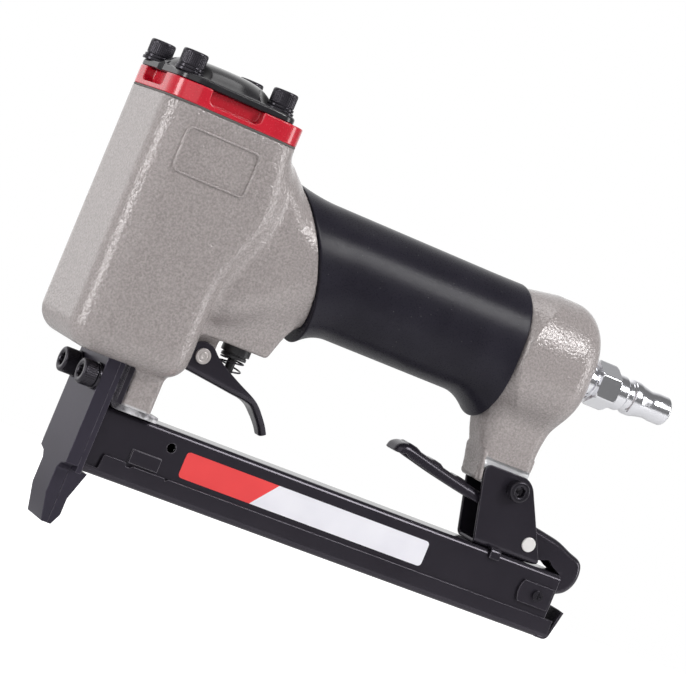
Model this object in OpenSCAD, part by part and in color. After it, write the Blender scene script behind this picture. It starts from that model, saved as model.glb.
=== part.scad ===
// Pneumatic upholstery stapler for wide-crown fine-wire staples, in millimetres, +Z up.
// The origin is the centre of the staple exit at the nose tip, on the driver axis.
// +X runs from the nose to the air plug, +Z from the nose to the cap.

/* [Head] */
// Driver axis to the front face of the head
head_front = 21.3; // [20.8:0.1:25]
// Driver axis to the rear face of the head at its top
head_rear = 27; // [25:0.5:30]
// Driver axis to the rear face of the head above its underside
head_heel = 22.4; // [21.6:0.1:22.6]
// Width of the head
head_w = 47; // [44:0.5:56]
// Corner radius of the head in plan
head_corner_r = 10; // [6:0.5:12]
// Rounding under the head
head_edge_r = 8; // [5:0.5:9]
// Height of the underside of the head above the nose tip
head_floor_z = 58; // [56:0.5:60]

/* [Cylinder] */
// Radius of the air chamber bored in the head
chamber_r = 17.5; // [17:0.1:18.5]
// Thickness of the chamber floor
floor_t = 6; // [5:0.5:7]
// Bore radius of the cylinder sleeve
sleeve_bore_r = 13.5; // [12.8:0.1:13.9]
// Wall of the cylinder sleeve
sleeve_wall = 1.7; // [1.5:0.1:1.8]
// Length of the cylinder sleeve
sleeve_l = 60; // [58:0.5:62]
// Height of a sleeve collar
collar_h = 5; // [4.5:0.5:6]
// Height of the piston
piston_h = 9.5; // [8:0.5:9.5]
// Stroke of the piston and driver
stroke = 36; // [30:0.5:36]
// Thickness of the driver blade
blade_t = 1.2; // [0.8:0.1:1.3]
// Width of the driver blade
blade_w = 12.8; // [10:0.1:12.9]
// Lift of the head valve
valve_lift = 4; // [2:0.5:4.5]
// Height of the head valve
head_valve_h = 11.5; // [10:0.5:12]
// Height of the joint face of the head above the cylinder sleeve
valve_room = 17.2; // [15:0.1:22]
// Section diameter of the O-rings in the head
oring_d = 1.5; // [1.2:0.1:1.6]

/* [Cap] */
// Thickness of the cap gasket
gasket_t = 0.5; // [0.3:0.1:1]
// Height of the cap
cap_h = 6.3; // [6:0.1:9]
// Thickness of the cap above the head valve
cap_roof_t = 4; // [3:0.5:4.5]
// Width of an exhaust pocket in the cap
pocket_w = 19; // [10:0.5:20]
// Height of an exhaust pocket in the cap
pocket_h = 4.6; // [3:0.1:5]
// Depth of an exhaust pocket in the cap
pocket_d = 3.6; // [2:0.1:4]
// Thickness of the exhaust deflector
deflector_t = 2.2; // [1.5:0.1:3]
// Rise of the pressed dome
dome_h = 5.8; // [3:0.1:6.5]
// Radius of the pressed dome at its foot
dome_r = 20; // [16:0.5:20.4]
// Cap screw offset from the driver axis along X
cap_screw_x = 16.7; // [16.4:0.1:17]
// Cap screw axis to the side face of the head
cap_screw_side = 8.1; // [7.5:0.1:8.3]

/* [Fasteners] */
// Radius of the cap and nose screws
m5_r = 2.5; // [2.3:0.1:2.6]
// Radius of a cap or nose screw head
m5_head_r = 4.25; // [4:0.05:4.5]
// Height of a cap or nose screw head
m5_head_h = 5; // [4:0.5:6]
// Reach of a cap screw into the head
cap_screw_reach = 16; // [10:1:20]
// Thickness of a flat washer
flat_washer_t = 1; // [0.8:0.1:1.2]
// Radius of a flat washer
flat_washer_r = 4.9; // [4.7:0.1:5.2]
// Thickness of a spring washer
spring_washer_t = 1.1; // [1:0.1:1.5]
// Radius of the rear bolt
m4_r = 2; // [1.8:0.1:2]
// Radius of the rear bolt head
m4_head_r = 3.8; // [3.3:0.1:4]
// Height of the rear bolt head
m4_head_h = 4; // [3:0.5:4.5]

/* [Handle] */
// Height of the handle axis
handle_z = 109; // [107:0.5:111]
// Side radius of the handle core
core_r = 15.2; // [14.6:0.1:16]
// Half the straight height in the handle section
section_s = 3; // [1:0.5:5]
// Radius of the air passage in the handle
passage_r = 11; // [9:0.5:11.5]
// Thickness of the grip sleeve
grip_t = 3.2; // [2:0.1:4]
// Front end of the grip on the handle axis
grip_front = 51; // [49.5:0.5:56]
// Slant of the front end of the grip
grip_front_tilt = 26.5; // [20:0.5:28]
// Rear end of the grip on the handle axis
grip_rear = 133.8; // [126:0.2:134.2]
// Slant of the rear end of the grip
grip_rear_tilt = 6; // [0:0.5:7]
// Height of the lip at each end of the grip
lip_h = 0.9; // [0.4:0.1:1.4]
// Length of the lip at each end of the grip
lip_l = 3; // [2:0.5:5]

/* [Tail and leg] */
// Rear face of the tail
tail_rear = 164.6; // [163:0.2:168]
// Side radius of the tail
tail_r = 20; // [18.5:0.5:22]
// Front of the rear leg at its step
leg_front = 139.4; // [138.6:0.1:140]
// Length of the rear leg at its step
leg_l = 20; // [19:0.5:21]
// Width of the rear leg above its step
leg_w = 14.4; // [14:0.1:18]
// Height of the machined step of the leg
leg_step_z = 71.5; // [71:0.1:74]
// Height of the underside of the leg at its rear
leg_floor_z = 60.2; // [59.8:0.1:60.6]
// Rise of the underside of the leg towards its front
leg_floor_rise = 3; // [2.5:0.1:4]

/* [Nose] */
// Driver axis to the front face of the nose
nose_front = 3.65; // [3.3:0.05:5]
// Driver axis to the joint between the nose plates
nose_joint = 0.75; // [0.7:0.05:0.9]
// Metal between the driver blade and a nose screw
nose_screw_wall = 0.85; // [0.8:0.05:1.2]
// Nose screw axis to the side edge of the nose plates
nose_edge = 3.75; // [3.3:0.05:5]
// Width of the nose tip
tip_w = 15; // [14.6:0.2:18]
// Height of the nose tip below its shoulder
tip_h = 20; // [19:0.2:20]
// Height of the bevel at the nose tip
bevel_h = 9.4; // [5:0.2:14]
// Thickness of the nose back plate
back_plate_t = 1.85; // [1.5:0.05:2.1]
// Rear reach of the nose back plate under the magazine
back_plate_heel = 7.2; // [5:0.2:9]
// Thickness of the spacer behind the bracket leaf
spacer_t = 2.1; // [1.5:0.1:3]
// Height of the nose screws
nose_screw_z = 50; // [49.5:0.1:51]
// Rear face of the casting foot
foot_rear = 17.6; // [16.5:0.1:20]
// Overhang of the casting foot past the side edge of the nose plates
foot_side = 0.2; // [0.1:0.05:1]

/* [Magazine] */
// Thickness of the front bracket leaf
bracket_leaf_t = 1.6; // [1.2:0.1:2]
// Thickness of the front bracket flange
bracket_flange_t = 2.2; // [1.6:0.1:3]
// Rear end of the front bracket flange
bracket_flange_rear = 21.3; // [20:0.1:23]
// Width of the front bracket flange
bracket_flange_w = 23; // [20:0.5:25]
// Height of the magazine top
magazine_top_z = 42.3; // [42:0.1:43]
// Outer width of the fixed magazine
magazine_w = 16.4; // [16.2:0.1:17]
// Wall of the fixed magazine
magazine_wall = 1.4; // [1.2:0.05:1.45]
// Bend radius of the fixed magazine
magazine_bend_r = 2; // [1.5:0.1:2.4]
// Rear end of the fixed magazine
magazine_rear = 185.5; // [184:0.1:185.8]
// Height of the slider underside
slider_floor_z = 19.6; // [19.6:0.1:20]
// Height of the slider walls
slider_h = 7.2; // [5:0.1:7.4]
// Wall of the slider
slider_wall = 1; // [0.8:0.05:1.3]
// Rear end of the slider
slider_rear = 188.4; // [187:0.1:190]
// Height of the staple rail above the slider floor
rail_h = 12.5; // [11.5:0.1:12.5]
// Width of the staple rail
rail_w = 11.2; // [10.4:0.1:11.3]
// Wall of the staple rail
rail_wall = 1; // [0.8:0.05:1.2]
// Rear end of the staple rail to the rear end of the slider
rail_set = 8.4; // [6.5:0.1:12]
// Length of the staple strip
strip_l = 102; // [60:1:106]
// Crown width of a staple
staple_w = 12.8; // [12.8:0.05:12.9]
// Leg length of a staple
staple_leg = 10; // [6:0.5:11]
// Wire thickness of a staple
staple_t = 0.55; // [0.45:0.05:0.6]
// Length of the staple pusher
pusher_l = 15; // [10:0.5:20]
// Radius of the pusher rod
pusher_rod_r = 1.2; // [1:0.1:1.5]
// Turns of the pusher spring
pusher_spring_turns = 16; // [10:1:20]

/* [Rear bracket and latch] */
// Front end of the rear bracket at its top
bracket_front = 141.6; // [140.8:0.1:142]
// Length of the rear bracket
bracket_l = 34.4; // [34:0.2:35]
// Height of the rear bracket above the magazine
bracket_h = 27.4; // [27:0.2:28.4]
// Gap between the plates of the rear bracket
bracket_gap = 11.2; // [11.2:0.1:12]
// Sheet thickness of the rear bracket
bracket_t = 1.4; // [1.2:0.1:1.6]
// Rear bolt position along X
rear_bolt_x = 155.6; // [155:0.1:156.4]
// Height of the rear bolt
rear_bolt_z = 64.6; // [64.2:0.1:65]
// Latch pivot position along X
latch_x = 168.7; // [168.2:0.1:169]
// Height of the latch pivot
latch_z = 48.6; // [48.5:0.1:49.2]
// Radius of the latch rivet
latch_rivet_r = 2.35; // [2:0.05:2.4]
// Length of the latch arm in front of its pivot
latch_l = 59.7; // [56:0.1:62]
// Rise of the latch arm above its pivot
latch_h = 17.2; // [16:0.2:17.4]
// Width of the latch lever
latch_w = 10.4; // [9.6:0.1:10.6]
// Sheet thickness of the latch lever
latch_t = 1.4; // [1:0.1:1.6]
// Length of a rear clip plate
clip_l = 13.6; // [12:0.2:14]
// Height of a rear clip plate
clip_h = 8; // [7:0.1:8]
// Thickness of a rear clip plate
clip_t = 1.2; // [1:0.1:1.6]
// Radius of a clip screw head
clip_screw_r = 2; // [1.8:0.1:2.4]

/* [Trigger and valve] */
// Trigger pivot position along X
trigger_x = 28.8; // [28.6:0.1:29.4]
// Height of the trigger pivot
trigger_z = 68.2; // [67.8:0.1:68.6]
// Radius of the trigger pin
trigger_pin_r = 2.65; // [2:0.05:2.8]
// Radius of a trigger ear
trigger_ear_r = 4.7; // [4.3:0.1:4.7]
// Reach of the trigger from its pivot to its bend
trigger_l = 22.4; // [21:0.2:24]
// Drop of the trigger from its pivot to its bend
trigger_drop = 8.8; // [8.4:0.1:9.2]
// Outer width of the trigger
trigger_w = 13.6; // [13.4:0.1:15]
// Sheet thickness of the trigger
trigger_t = 1.4; // [1:0.1:1.5]
// Reach of the finger end of the trigger past its bend
finger_l = 9.6; // [7:0.2:12]
// Drop of the finger end of the trigger below its bend
finger_drop = 9; // [6:0.2:12]
// Height of the underside of the trigger housing
housing_z = 75; // [74.6:0.1:76]
// Trigger valve position along X
valve_x = 41.9; // [41:0.1:43]
// Radius of the trigger valve body
valve_r = 5; // [4.6:0.1:5.4]
// Height of the trigger valve body below its housing
valve_drop = 4.2; // [3:0.1:4.4]
// Radius of the valve stem
stem_r = 1.5; // [1.2:0.1:1.8]
// Wire radius of the valve spring
valve_wire_r = 0.35; // [0.25:0.05:0.4]
// Turns of the valve spring
valve_spring_turns = 4; // [3:1:5]

/* [Air plug] */
// Width across the flats of the plug hexagon
plug_hex_af = 14.5; // [13:0.1:17]
// Length of the plug hexagon
plug_hex_l = 8.2; // [6:0.2:10]
// Radius of the plug thread
plug_thread_r = 6.4; // [6:0.1:7]
// Length of the plug behind its hexagon
plug_nose_l = 28.2; // [24:0.2:32]
// Radius of the plug nipple
plug_nipple_r = 4.7; // [4.2:0.1:5]
// Radius of the plug collar
plug_collar_r = 6; // [5.6:0.1:6.4]
// Bore radius of the plug
plug_bore_r = 2.75; // [2:0.05:3]

/* [Hidden] */
$fn = 64;

// Facets of the parts inside a hull
hull_fn = 28;
// Overrun of every cut
cut = 1;
// Gap between pieces that are seated in one another
seat_gap = 0.05;
// Gap between pieces that move past one another
run_gap = 0.3;
// Rings in one turn and sides of a spring wire
coil_rings = 8;
coil_sides = 6;

// Chamber, sleeve and piston
chamber_z = head_floor_z + floor_t;
sleeve_r = sleeve_bore_r + sleeve_wall;
sleeve_top_z = chamber_z + sleeve_l;
head_top_z = sleeve_top_z + valve_room;
collar_r = chamber_r - seat_gap;
collar_up_share = 0.53;
port_r = 1.2;
port_count = 6;
oring_r = oring_d / 2;
groove_share = 0.7;
piston_r = sleeve_bore_r - 2 * seat_gap;
piston_z = sleeve_top_z - piston_h - run_gap;
blade_foot_z = stroke;
blade_tang = piston_h * 0.42;
bumper_h = piston_z - stroke - run_gap - chamber_z;
slot_w = blade_w + 2 * run_gap;
slot_t = blade_t + 2 * run_gap;
driver_pin_r = 1.2;
driver_pin_l = piston_r;

// Cap stack
cap_screw_y = head_w / 2 - cap_screw_side;
cap_z = head_top_z + gasket_t;
cap_top_z = cap_z + cap_h;
roof_z = cap_top_z - cap_roof_t;
spigot_z = sleeve_top_z + valve_lift;
spigot_wall = 2.5;
valve_bore_r = collar_r - spigot_wall;
head_valve_r = valve_bore_r - seat_gap;
head_valve_z = sleeve_top_z + run_gap;
valve_recess_r = head_valve_r * 0.62;
valve_recess_h = head_valve_h * 0.6;
exhaust_r = 3;
head_spring_r = valve_recess_r * 0.82;
head_spring_turns = 5;
head_wire_r = 0.7;
pocket_r = 2.2;
deflector_z = cap_top_z;
deflector_inset = 0.8;
deflector_rear = cap_screw_x + flat_washer_r + deflector_inset;
deflector_corner_r = 7;
deflector_notch_w = 4;
deflector_notch_d = 1.2;
dome_power = 2.4;
dome_steps = 12;
washer_seat_r = flat_washer_r + run_gap;
hollow_r = norm([cap_screw_x, cap_screw_y]) - washer_seat_r - deflector_t;
hollow_h = dome_h * 0.6;
washer_z = deflector_z + deflector_t;
spring_washer_z = washer_z + flat_washer_t;
cap_head_z = spring_washer_z + spring_washer_t;
spring_washer_r = m5_head_r + run_gap;
hex_socket_share = 0.54;
hex_socket_d = m5_head_h * 0.5;
clear_r = m5_r + 2 * seat_gap;

// Rounding under the head: inset of the lowest slab as a share of it, and inset and rise of the next
edge_in_share = 0.8;
edge_low = head_edge_r * 0.29;

// Handle section
grip_inner_r = core_r + seat_gap;
grip_r = core_r + grip_t;
grip_half_h = grip_r + section_s;
core_rear = tail_rear - tail_r;
flare_slab = 2;
flare_front = head_heel * 0.95;
flare_w = head_w * 0.84;
flare_low_z = handle_z - grip_half_h;
flare_high_z = head_top_z - flare_slab;

// Trigger housing
housing_front = head_heel - flare_slab;
housing_rear = valve_x + valve_r * 1.55;
housing_w = trigger_w + 2 * trigger_ear_r;
housing_low_w = housing_w * 0.84;
housing_slant = valve_r * 0.8;
lug_w = trigger_w - 2 * trigger_t - 2 * run_gap;
lug_r = trigger_ear_r - 2 * run_gap;
pin_hole_r = trigger_pin_r + seat_gap;

// Tail slabs: distance of each slab from the rear face and its side radius, as shares of the tail radius
tail_place_shares = [1.3, 0.88, 0.48, 0.18, 0];
tail_size_shares = [0.87, 1, 0.98, 0.82, 0.6];
tail_slab = 1;

// Rear leg
leg_tenon_w = bracket_gap - 2 * seat_gap;
leg_knee_z = handle_z - grip_half_h - lip_h - 2 * tail_slab;
leg_knee_front = leg_front - leg_l * 0.31;
leg_knee_rear = leg_front + leg_l * 1.06;
leg_knee_w = leg_w * 1.25;
leg_root_w = leg_w * 1.7;
leg_root_z = handle_z - tail_r * 0.65;
leg_root_front = grip_rear + lip_h;
leg_root_rear = tail_rear - tail_slab;
leg_corner_r = 3;
leg_root_r = leg_w * 0.5;

// Nose widths, from the driver blade outwards
nose_screw_y = blade_w / 2 + m5_r + nose_screw_wall;
nose_w = 2 * (nose_screw_y + nose_edge);
foot_w = nose_w + 2 * foot_side;

// Nose stack along X
back_face_x = nose_joint + back_plate_t;
leaf_rear_x = back_face_x + bracket_leaf_t;
foot_front = leaf_rear_x + spacer_t;
nose_top_z = head_floor_z;
groove_x = blade_t / 2 + 2 * seat_gap;
groove_w = blade_w + 4 * seat_gap;
tip_bevel = nose_front * 0.6;
shoulder_r = 2;
foot_floor_z = magazine_top_z + bracket_flange_t;
foot_corner_r = 2.5;
nose_washer_t = spring_washer_t + seat_gap;
nose_screw_end = foot_rear - magazine_bend_r;
wedge_top_z = slider_floor_z - 2 * run_gap;
wedge_foot_share = 0.2;
wedge_low_share = 0.5;

// Magazine section, looking along +X
channel_half = magazine_w / 2;
channel_in = channel_half - magazine_wall;
channel_front = back_face_x + seat_gap;
slider_half = channel_half + run_gap + slider_wall;
slider_in_z = slider_floor_z + magazine_wall;
channel_floor_z = slider_in_z + run_gap;
slider_wall_z = slider_floor_z + slider_h;
slider_front = back_face_x + run_gap;
slider_notch_l = 4.6;
slider_notch_h = 2.8;
slider_tab_l = 4.4;
slider_tab_h = 11.4;
rail_rear = slider_rear - rail_set;
rail_top_z = slider_in_z + rail_h;
rail_half = rail_w / 2;
strip_front = nose_joint + 3 * seat_gap;
strip_gap = 2 * seat_gap;
crown_z = rail_top_z + strip_gap;
strip_top_z = crown_z + staple_t;
window_z = strip_top_z - staple_leg - run_gap;
window_h = staple_leg + 2 * run_gap;
window_w = staple_w + 2 * run_gap;
pusher_front = strip_front + strip_l + run_gap;
pusher_half = channel_in - run_gap;
pusher_floor_z = slider_in_z + 2 * rail_wall;
lug_t = 3;
pusher_lug_w = 2.4;
rod_z = slider_in_z + rail_h / 2;
end_block_l = 5;
end_block_x = rail_rear - end_block_l;
pusher_wire_r = 0.4;
pusher_spring_r = rail_half - rail_wall - run_gap - 2 * pusher_wire_r;
pusher_spring_x = pusher_front + lug_t + seat_gap;
pad_x = 18.2;
pad_l = 10.6;
pad_h = 4.6;
pad_t = 0.8;
pad_z = slider_wall_z + 2 * run_gap;
guide_hole_x = 30.6;
guide_hole_z = 36.6;
guide_hole_r = 1.6;

// Rear bracket: outline as shares of its length and height, from its top front corner's place
bracket_shares = [
  [0.2, 0], [0.142, 0.257], [0.015, 0.814], [0, 0.93], [0.04, 0.985], [0.11, 1],
  [0.5, 1], [0.55, 0.98], [0.6, 0.9], [0.802, 0.464], [0.97, 0.089], [1, 0]
];
bracket_base_front_share = 0.2;
bracket_base_rear_share = 0.88;
bracket_outer = bracket_gap / 2 + bracket_t;
bolt_hole_r = m4_r + seat_gap;
rear_nut_r = m4_r * 2.02;
rear_nut_t = m4_r * 1.6;
bolt_tail = m4_r;

// Latch outline as shares of the arm's length and rise, from the pivot, X first
latch_top_shares = [
  [-1, 0.79], [-0.99, 0.907], [-0.961, 0.988], [-0.931, 1], [-0.838, 0.945], [-0.538, 0.736],
  [-0.422, 0.72], [-0.201, 0.535], [0, 0.39], [0.119, 0.308], [0.226, 0.27], [0.325, 0.12],
  [0.394, 0.03], [0.407, -0.05], [0.407, -0.42], [0.37, -0.63], [0.33, -0.725], [0.27, -0.79]
];
latch_low_shares = [
  [0.24, -0.79], [0.24, -0.67], [0.295, -0.63], [0.295, -0.36], [0.246, -0.33], [0.186, -0.17],
  [0.131, -0.235], [0.049, -0.225], [-0.079, -0.15], [-0.161, 0.06], [-0.28, 0.36], [-0.467, 0.45],
  [-0.876, 0.72], [-0.955, 0.767]
];
latch_rivet_end = 0.6;
latch_wire_r = 0.4;
latch_spring_r = latch_rivet_r + 3 * latch_wire_r;
latch_spring_turns = 3;
latch_spring_l = latch_w * 0.45;

// Rear clips
clip_x = magazine_rear - clip_l - clip_t;
clip_z = slider_wall_z + clip_t * 2;
clip_screw_x = clip_x + clip_l * 0.56;
clip_screw_z = clip_z + clip_h / 2;
clip_screw_l = 2.2;
clip_thread_r = clip_screw_r * 0.6;
clip_slot_l = clip_screw_r * 1.2;
clip_slot_w = clip_screw_r * 0.32;

// Trigger outline as shares of its reach and drop, from the pivot: heel, bend, top of the bend, ear, front
trigger_heel_share = [-0.246, -0.625];
trigger_bend_share = [0.946, -1];
trigger_top_shares = [[1, -0.784], [0.19, 0.18], [-0.223, 0.34]];
finger_shares = [[0, 0], [0.3, -0.14], [0.56, -0.44], [1, -1]];
finger_w = trigger_w * 0.8;
finger_t = trigger_t * 1.2;
pin_end = 0.8;

// Trigger valve
valve_low_z = housing_z - valve_drop;
valve_h = 22;
stem_guide_r = stem_r + seat_gap;
stem_piston_r = stem_r * 2;
stem_chamber_r = stem_piston_r + seat_gap;
stem_guide_h = 9;
stem_piston_h = 7;
stem_gap = 0.5;
web_drop = (trigger_heel_share[1] - trigger_bend_share[1]) * trigger_drop;
web_slope = web_drop / ((trigger_bend_share[0] - trigger_heel_share[0]) * trigger_l);
web_rise = trigger_t / cos(atan(web_slope));
web_low_z = trigger_z + trigger_heel_share[1] * trigger_drop
  - web_slope * (valve_x - trigger_x - trigger_heel_share[0] * trigger_l);
stem_low_z = web_low_z + web_rise + stem_gap;
valve_hole_top = handle_z - passage_r * 0.6;
valve_spring_r = valve_r * 0.8;
valve_oring_d = 1;
valve_groove_shares = [0.35, 0.8];

// Air plug
plug_seal_t = 1.3;
plug_neck_l = 2.4;
plug_seal_r = plug_thread_r * 1.14;
plug_x = tail_rear + plug_seal_t + plug_neck_l;
plug_thread_l = 12;
plug_hex_r = plug_hex_af / sqrt(3);
plug_nose_x = plug_x + plug_hex_l;
inlet_depth = 17;

// Flat shapes

// Rectangle with round corners between two corners
module rounded_plate(low, high, r) {
  translate([low[0] + r, low[1]]) square([high[0] - low[0] - 2 * r, high[1] - low[1]]);
  translate([low[0], low[1] + r]) square([high[0] - low[0], high[1] - low[1] - 2 * r]);
  for (x = [low[0] + r, high[0] - r], y = [low[1] + r, high[1] - r]) translate([x, y]) circle(r);
}

// Upright round-ended section of the handle
module handle_section(r) {
  square([2 * r, 2 * section_s], center = true);
  for (side = [-1, 1]) translate([0, side * section_s]) circle(r);
}

// Inner edge of a sheet bent along a line of points, in reverse order, on the right of the line
function inner_edge(line, t) = [
  for (i = [len(line) - 1:-1:0])
    let (
      along = line[min(i + 1, len(line) - 1)] - line[max(i - 1, 0)],
      side = unit([along[1], -along[0]])
    )
    line[i] + t * side
];

// Placing and extruding

// Extrudes a Y-Z outline along X
module along_x(x, l) {
  translate([x, 0, 0]) rotate([90, 0, 90]) linear_extrude(l) children();
}

// Extrudes an X-Z outline along Y, centred on the middle plane
module across(w) {
  rotate([90, 0, 0]) translate([0, 0, -w / 2]) linear_extrude(w) children();
}

// Extrudes an X-Z outline on both sides of the middle plane
module on_both_sides(inner, t) {
  for (side = [0, 1]) mirror([0, side, 0]) translate([0, -inner, 0])
    rotate([90, 0, 0]) linear_extrude(t) children();
}

// Round bar along X, Y
module bar_x(r, x, l) {
  translate([x, 0, 0]) rotate([0, 90, 0]) cylinder(r = r, h = l);
}
module bar_y(r, l) {
  rotate([90, 0, 0]) cylinder(r = r, h = l, center = true);
}

// Slab of the handle section, cut square to X
module handle_slab(r, x, l) {
  translate([0, 0, handle_z]) along_x(x, l) handle_section(r);
}

// Space in front of a slanted plane through a point of the handle axis
module before_plane(x, tilt) {
  reach = tail_rear;
  translate([x, 0, handle_z]) rotate([0, tilt, 0]) translate([-reach, -reach / 2, -reach / 2])
    cube([reach, reach, reach]);
}

module at_cap_screws() {
  for (x = [-cap_screw_x, cap_screw_x], y = [-cap_screw_y, cap_screw_y]) translate([x, y, 0]) children();
}

module at_nose_screws() {
  for (side = [-1, 1]) translate([0, side * nose_screw_y, nose_screw_z]) children();
}

module ring(outer_r, inner_r, h) {
  difference() {
    cylinder(r = outer_r, h = h);
    translate([0, 0, -cut]) cylinder(r = inner_r, h = h + 2 * cut);
  }
}

module oring(r, section_r) {
  rotate_extrude() translate([r, 0]) circle(section_r, $fn = hull_fn);
}

// Socket head screw along -Z, with its seat at the origin
module socket_screw(r, head_r, head_h, l) {
  difference() {
    union() {
      cylinder(r = head_r, h = head_h);
      translate([0, 0, -l]) cylinder(r = r, h = l + cut);
    }
    translate([0, 0, head_h - hex_socket_d])
      cylinder(r = head_r * hex_socket_share, h = head_h, $fn = 6);
  }
}

// Springs: a round wire swept along a helix, both ends straight for one wire diameter

function unit(v) = v / norm(v);
function helix_at(angle, r, z) = [r * cos(angle), r * sin(angle), z];
function helix_path(r, wire_r, turns, l) =
  let (
    count = turns * coil_rings,
    rise = (l - 2 * wire_r) / count,
    points = [for (i = [0:count]) helix_at(360 * i / coil_rings, r, wire_r + i * rise)]
  )
  concat(
    [points[0] - [0, 2 * wire_r, 0]],
    points,
    [points[count] + 2 * wire_r * [-sin(360 * turns), cos(360 * turns), 0]]
  );
function wire_ring(path, i, wire_r) =
  let (
    low = max(i - 1, 0),
    high = min(i + 1, len(path) - 1),
    along = unit(path[high] - path[low]),
    out = [path[i][0], path[i][1], 0],
    side = unit(out - (out * along) * along),
    rise = cross(along, side)
  )
  [for (k = [0:coil_sides - 1])
    let (a = 360 * k / coil_sides)
    path[i] + wire_r * (cos(a) * side + sin(a) * rise)];
function wire_faces(rings) = concat(
  [for (i = [0:rings - 2], k = [0:coil_sides - 1])
    [i * coil_sides + k, (i + 1) * coil_sides + k, (i + 1) * coil_sides + (k + 1) % coil_sides]],
  [for (i = [0:rings - 2], k = [0:coil_sides - 1])
    [i * coil_sides + k, (i + 1) * coil_sides + (k + 1) % coil_sides, i * coil_sides + (k + 1) % coil_sides]],
  [for (k = [1:coil_sides - 2]) [0, k, k + 1]],
  [for (k = [1:coil_sides - 2]) [0, k + 1, k] + [1, 1, 1] * (rings - 1) * coil_sides]
);
function self_gap(path, wire_r) = min([
  for (i = [0:len(path) - 1], j = [i + coil_rings / 2:1:len(path) - 1]) norm(path[i] - path[j])
]) - 2 * wire_r;

module coil_spring(name, r, wire_r, turns, l) {
  path = helix_path(r, wire_r, turns, l);
  echo(str(name, " least gap to itself"), self_gap(path, wire_r));
  polyhedron(
    points = [for (i = [0:len(path) - 1]) each wire_ring(path, i, wire_r)],
    faces = wire_faces(len(path))
  );
}

// Cast body

module head_slab(z, h, inset, rear) {
  translate([0, 0, z]) linear_extrude(h)
    rounded_plate(
      [-head_front + inset, -head_w / 2 + inset],
      [rear - inset, head_w / 2 - inset],
      head_corner_r,
      $fn = hull_fn
    );
}

module head_block() {
  hull() {
    head_slab(head_top_z - tail_slab, tail_slab, 0, head_rear);
    head_slab(head_floor_z + head_edge_r, tail_slab, 0, head_heel);
    head_slab(head_floor_z + edge_low, tail_slab, edge_low, head_heel);
    head_slab(head_floor_z, tail_slab, head_edge_r * edge_in_share, head_heel);
  }
}

module grip_flare() {
  difference() {
    hull() {
      along_x(flare_front, flare_slab)
        rounded_plate(
          [-flare_w / 2, flare_low_z],
          [flare_w / 2, flare_high_z],
          head_corner_r,
          $fn = hull_fn
        );
      intersection() {
        handle_slab(grip_r, flare_front, grip_rear - flare_front, $fn = hull_fn);
        difference() {
          before_plane(grip_front - seat_gap, -grip_front_tilt);
          before_plane(grip_front - flare_slab, -grip_front_tilt);
        }
      }
    }
    difference() {
      translate([0, 0, handle_z]) cube(2 * grip_rear, center = true);
      before_plane(grip_front - seat_gap, -grip_front_tilt);
    }
  }
}

module trigger_housing() {
  hull() {
    translate([housing_front, -housing_low_w / 2, housing_z])
      cube([housing_rear - housing_front, housing_low_w, flare_slab]);
    translate([housing_front, -housing_w / 2, flare_low_z + flare_slab])
      cube([housing_rear - housing_front + housing_slant, housing_w, flare_slab]);
  }
  across(lug_w) {
    translate([trigger_x, trigger_z]) circle(lug_r);
    translate([trigger_x - lug_r, trigger_z]) square([2 * lug_r, housing_z + cut - trigger_z]);
  }
}

module tail() {
  hull() for (i = [0:len(tail_place_shares) - 1])
    handle_slab(
      tail_r * tail_size_shares[i],
      tail_rear - tail_slab - tail_r * tail_place_shares[i],
      tail_slab,
      $fn = hull_fn
    );
}

module leg_slab(z, front, rear, w, r) {
  translate([0, 0, z]) linear_extrude(tail_slab)
    rounded_plate([front, -w / 2], [rear, w / 2], r, $fn = hull_fn);
}

module rear_leg() {
  hull() {
    leg_slab(leg_step_z, leg_front, leg_front + leg_l, leg_w, leg_corner_r);
    leg_slab(leg_knee_z, leg_knee_front, leg_knee_rear, leg_knee_w, leg_root_r);
  }
  hull() {
    leg_slab(leg_knee_z, leg_knee_front, leg_knee_rear, leg_knee_w, leg_root_r);
    leg_slab(leg_root_z, leg_root_front, leg_root_rear, leg_root_w, leg_root_r);
  }
  across(leg_tenon_w)
    polygon([
      [leg_front + leg_corner_r / 2, leg_floor_z + leg_floor_rise],
      [leg_front + leg_l, leg_floor_z],
      [leg_front + leg_l, leg_step_z + cut],
      [leg_front, leg_step_z + cut]
    ]);
}

module casting_foot() {
  translate([0, 0, foot_floor_z]) linear_extrude(head_floor_z + head_edge_r - foot_floor_z)
    rounded_plate([foot_front, -foot_w / 2], [foot_rear, foot_w / 2], foot_corner_r);
}

module casting_cuts() {
  translate([0, 0, chamber_z]) cylinder(r = chamber_r, h = head_top_z);
  translate([-slot_t / 2, -slot_w / 2, head_floor_z - cut]) cube([slot_t, slot_w, floor_t + 2 * cut]);
  translate([0, 0, handle_z]) bar_x(passage_r, 0, tail_rear - inlet_depth + cut);
  translate([0, 0, handle_z]) bar_x(plug_thread_r + seat_gap, tail_rear - inlet_depth, inlet_depth + cut);
  translate([valve_x, 0, valve_low_z]) cylinder(r = valve_r + seat_gap, h = valve_hole_top - valve_low_z);
  translate([0, 0, head_top_z - cap_screw_reach - cut])
    at_cap_screws() cylinder(r = m5_r + seat_gap, h = cap_screw_reach + 2 * cut);
  at_nose_screws() bar_x(m5_r + seat_gap, foot_front - cut, nose_screw_end - foot_front + 2 * cut);
  translate([trigger_x, 0, trigger_z]) bar_y(pin_hole_r, trigger_w);
  translate([rear_bolt_x, 0, rear_bolt_z]) bar_y(bolt_hole_r, leg_w);
}

module body_casting() {
  color("darkgray") difference() {
    union() {
      head_block();
      casting_foot();
      grip_flare();
      handle_slab(core_r, flare_front, core_rear - flare_front);
      trigger_housing();
      tail();
      rear_leg();
    }
    casting_cuts();
  }
}

// Grip sleeve

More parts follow.
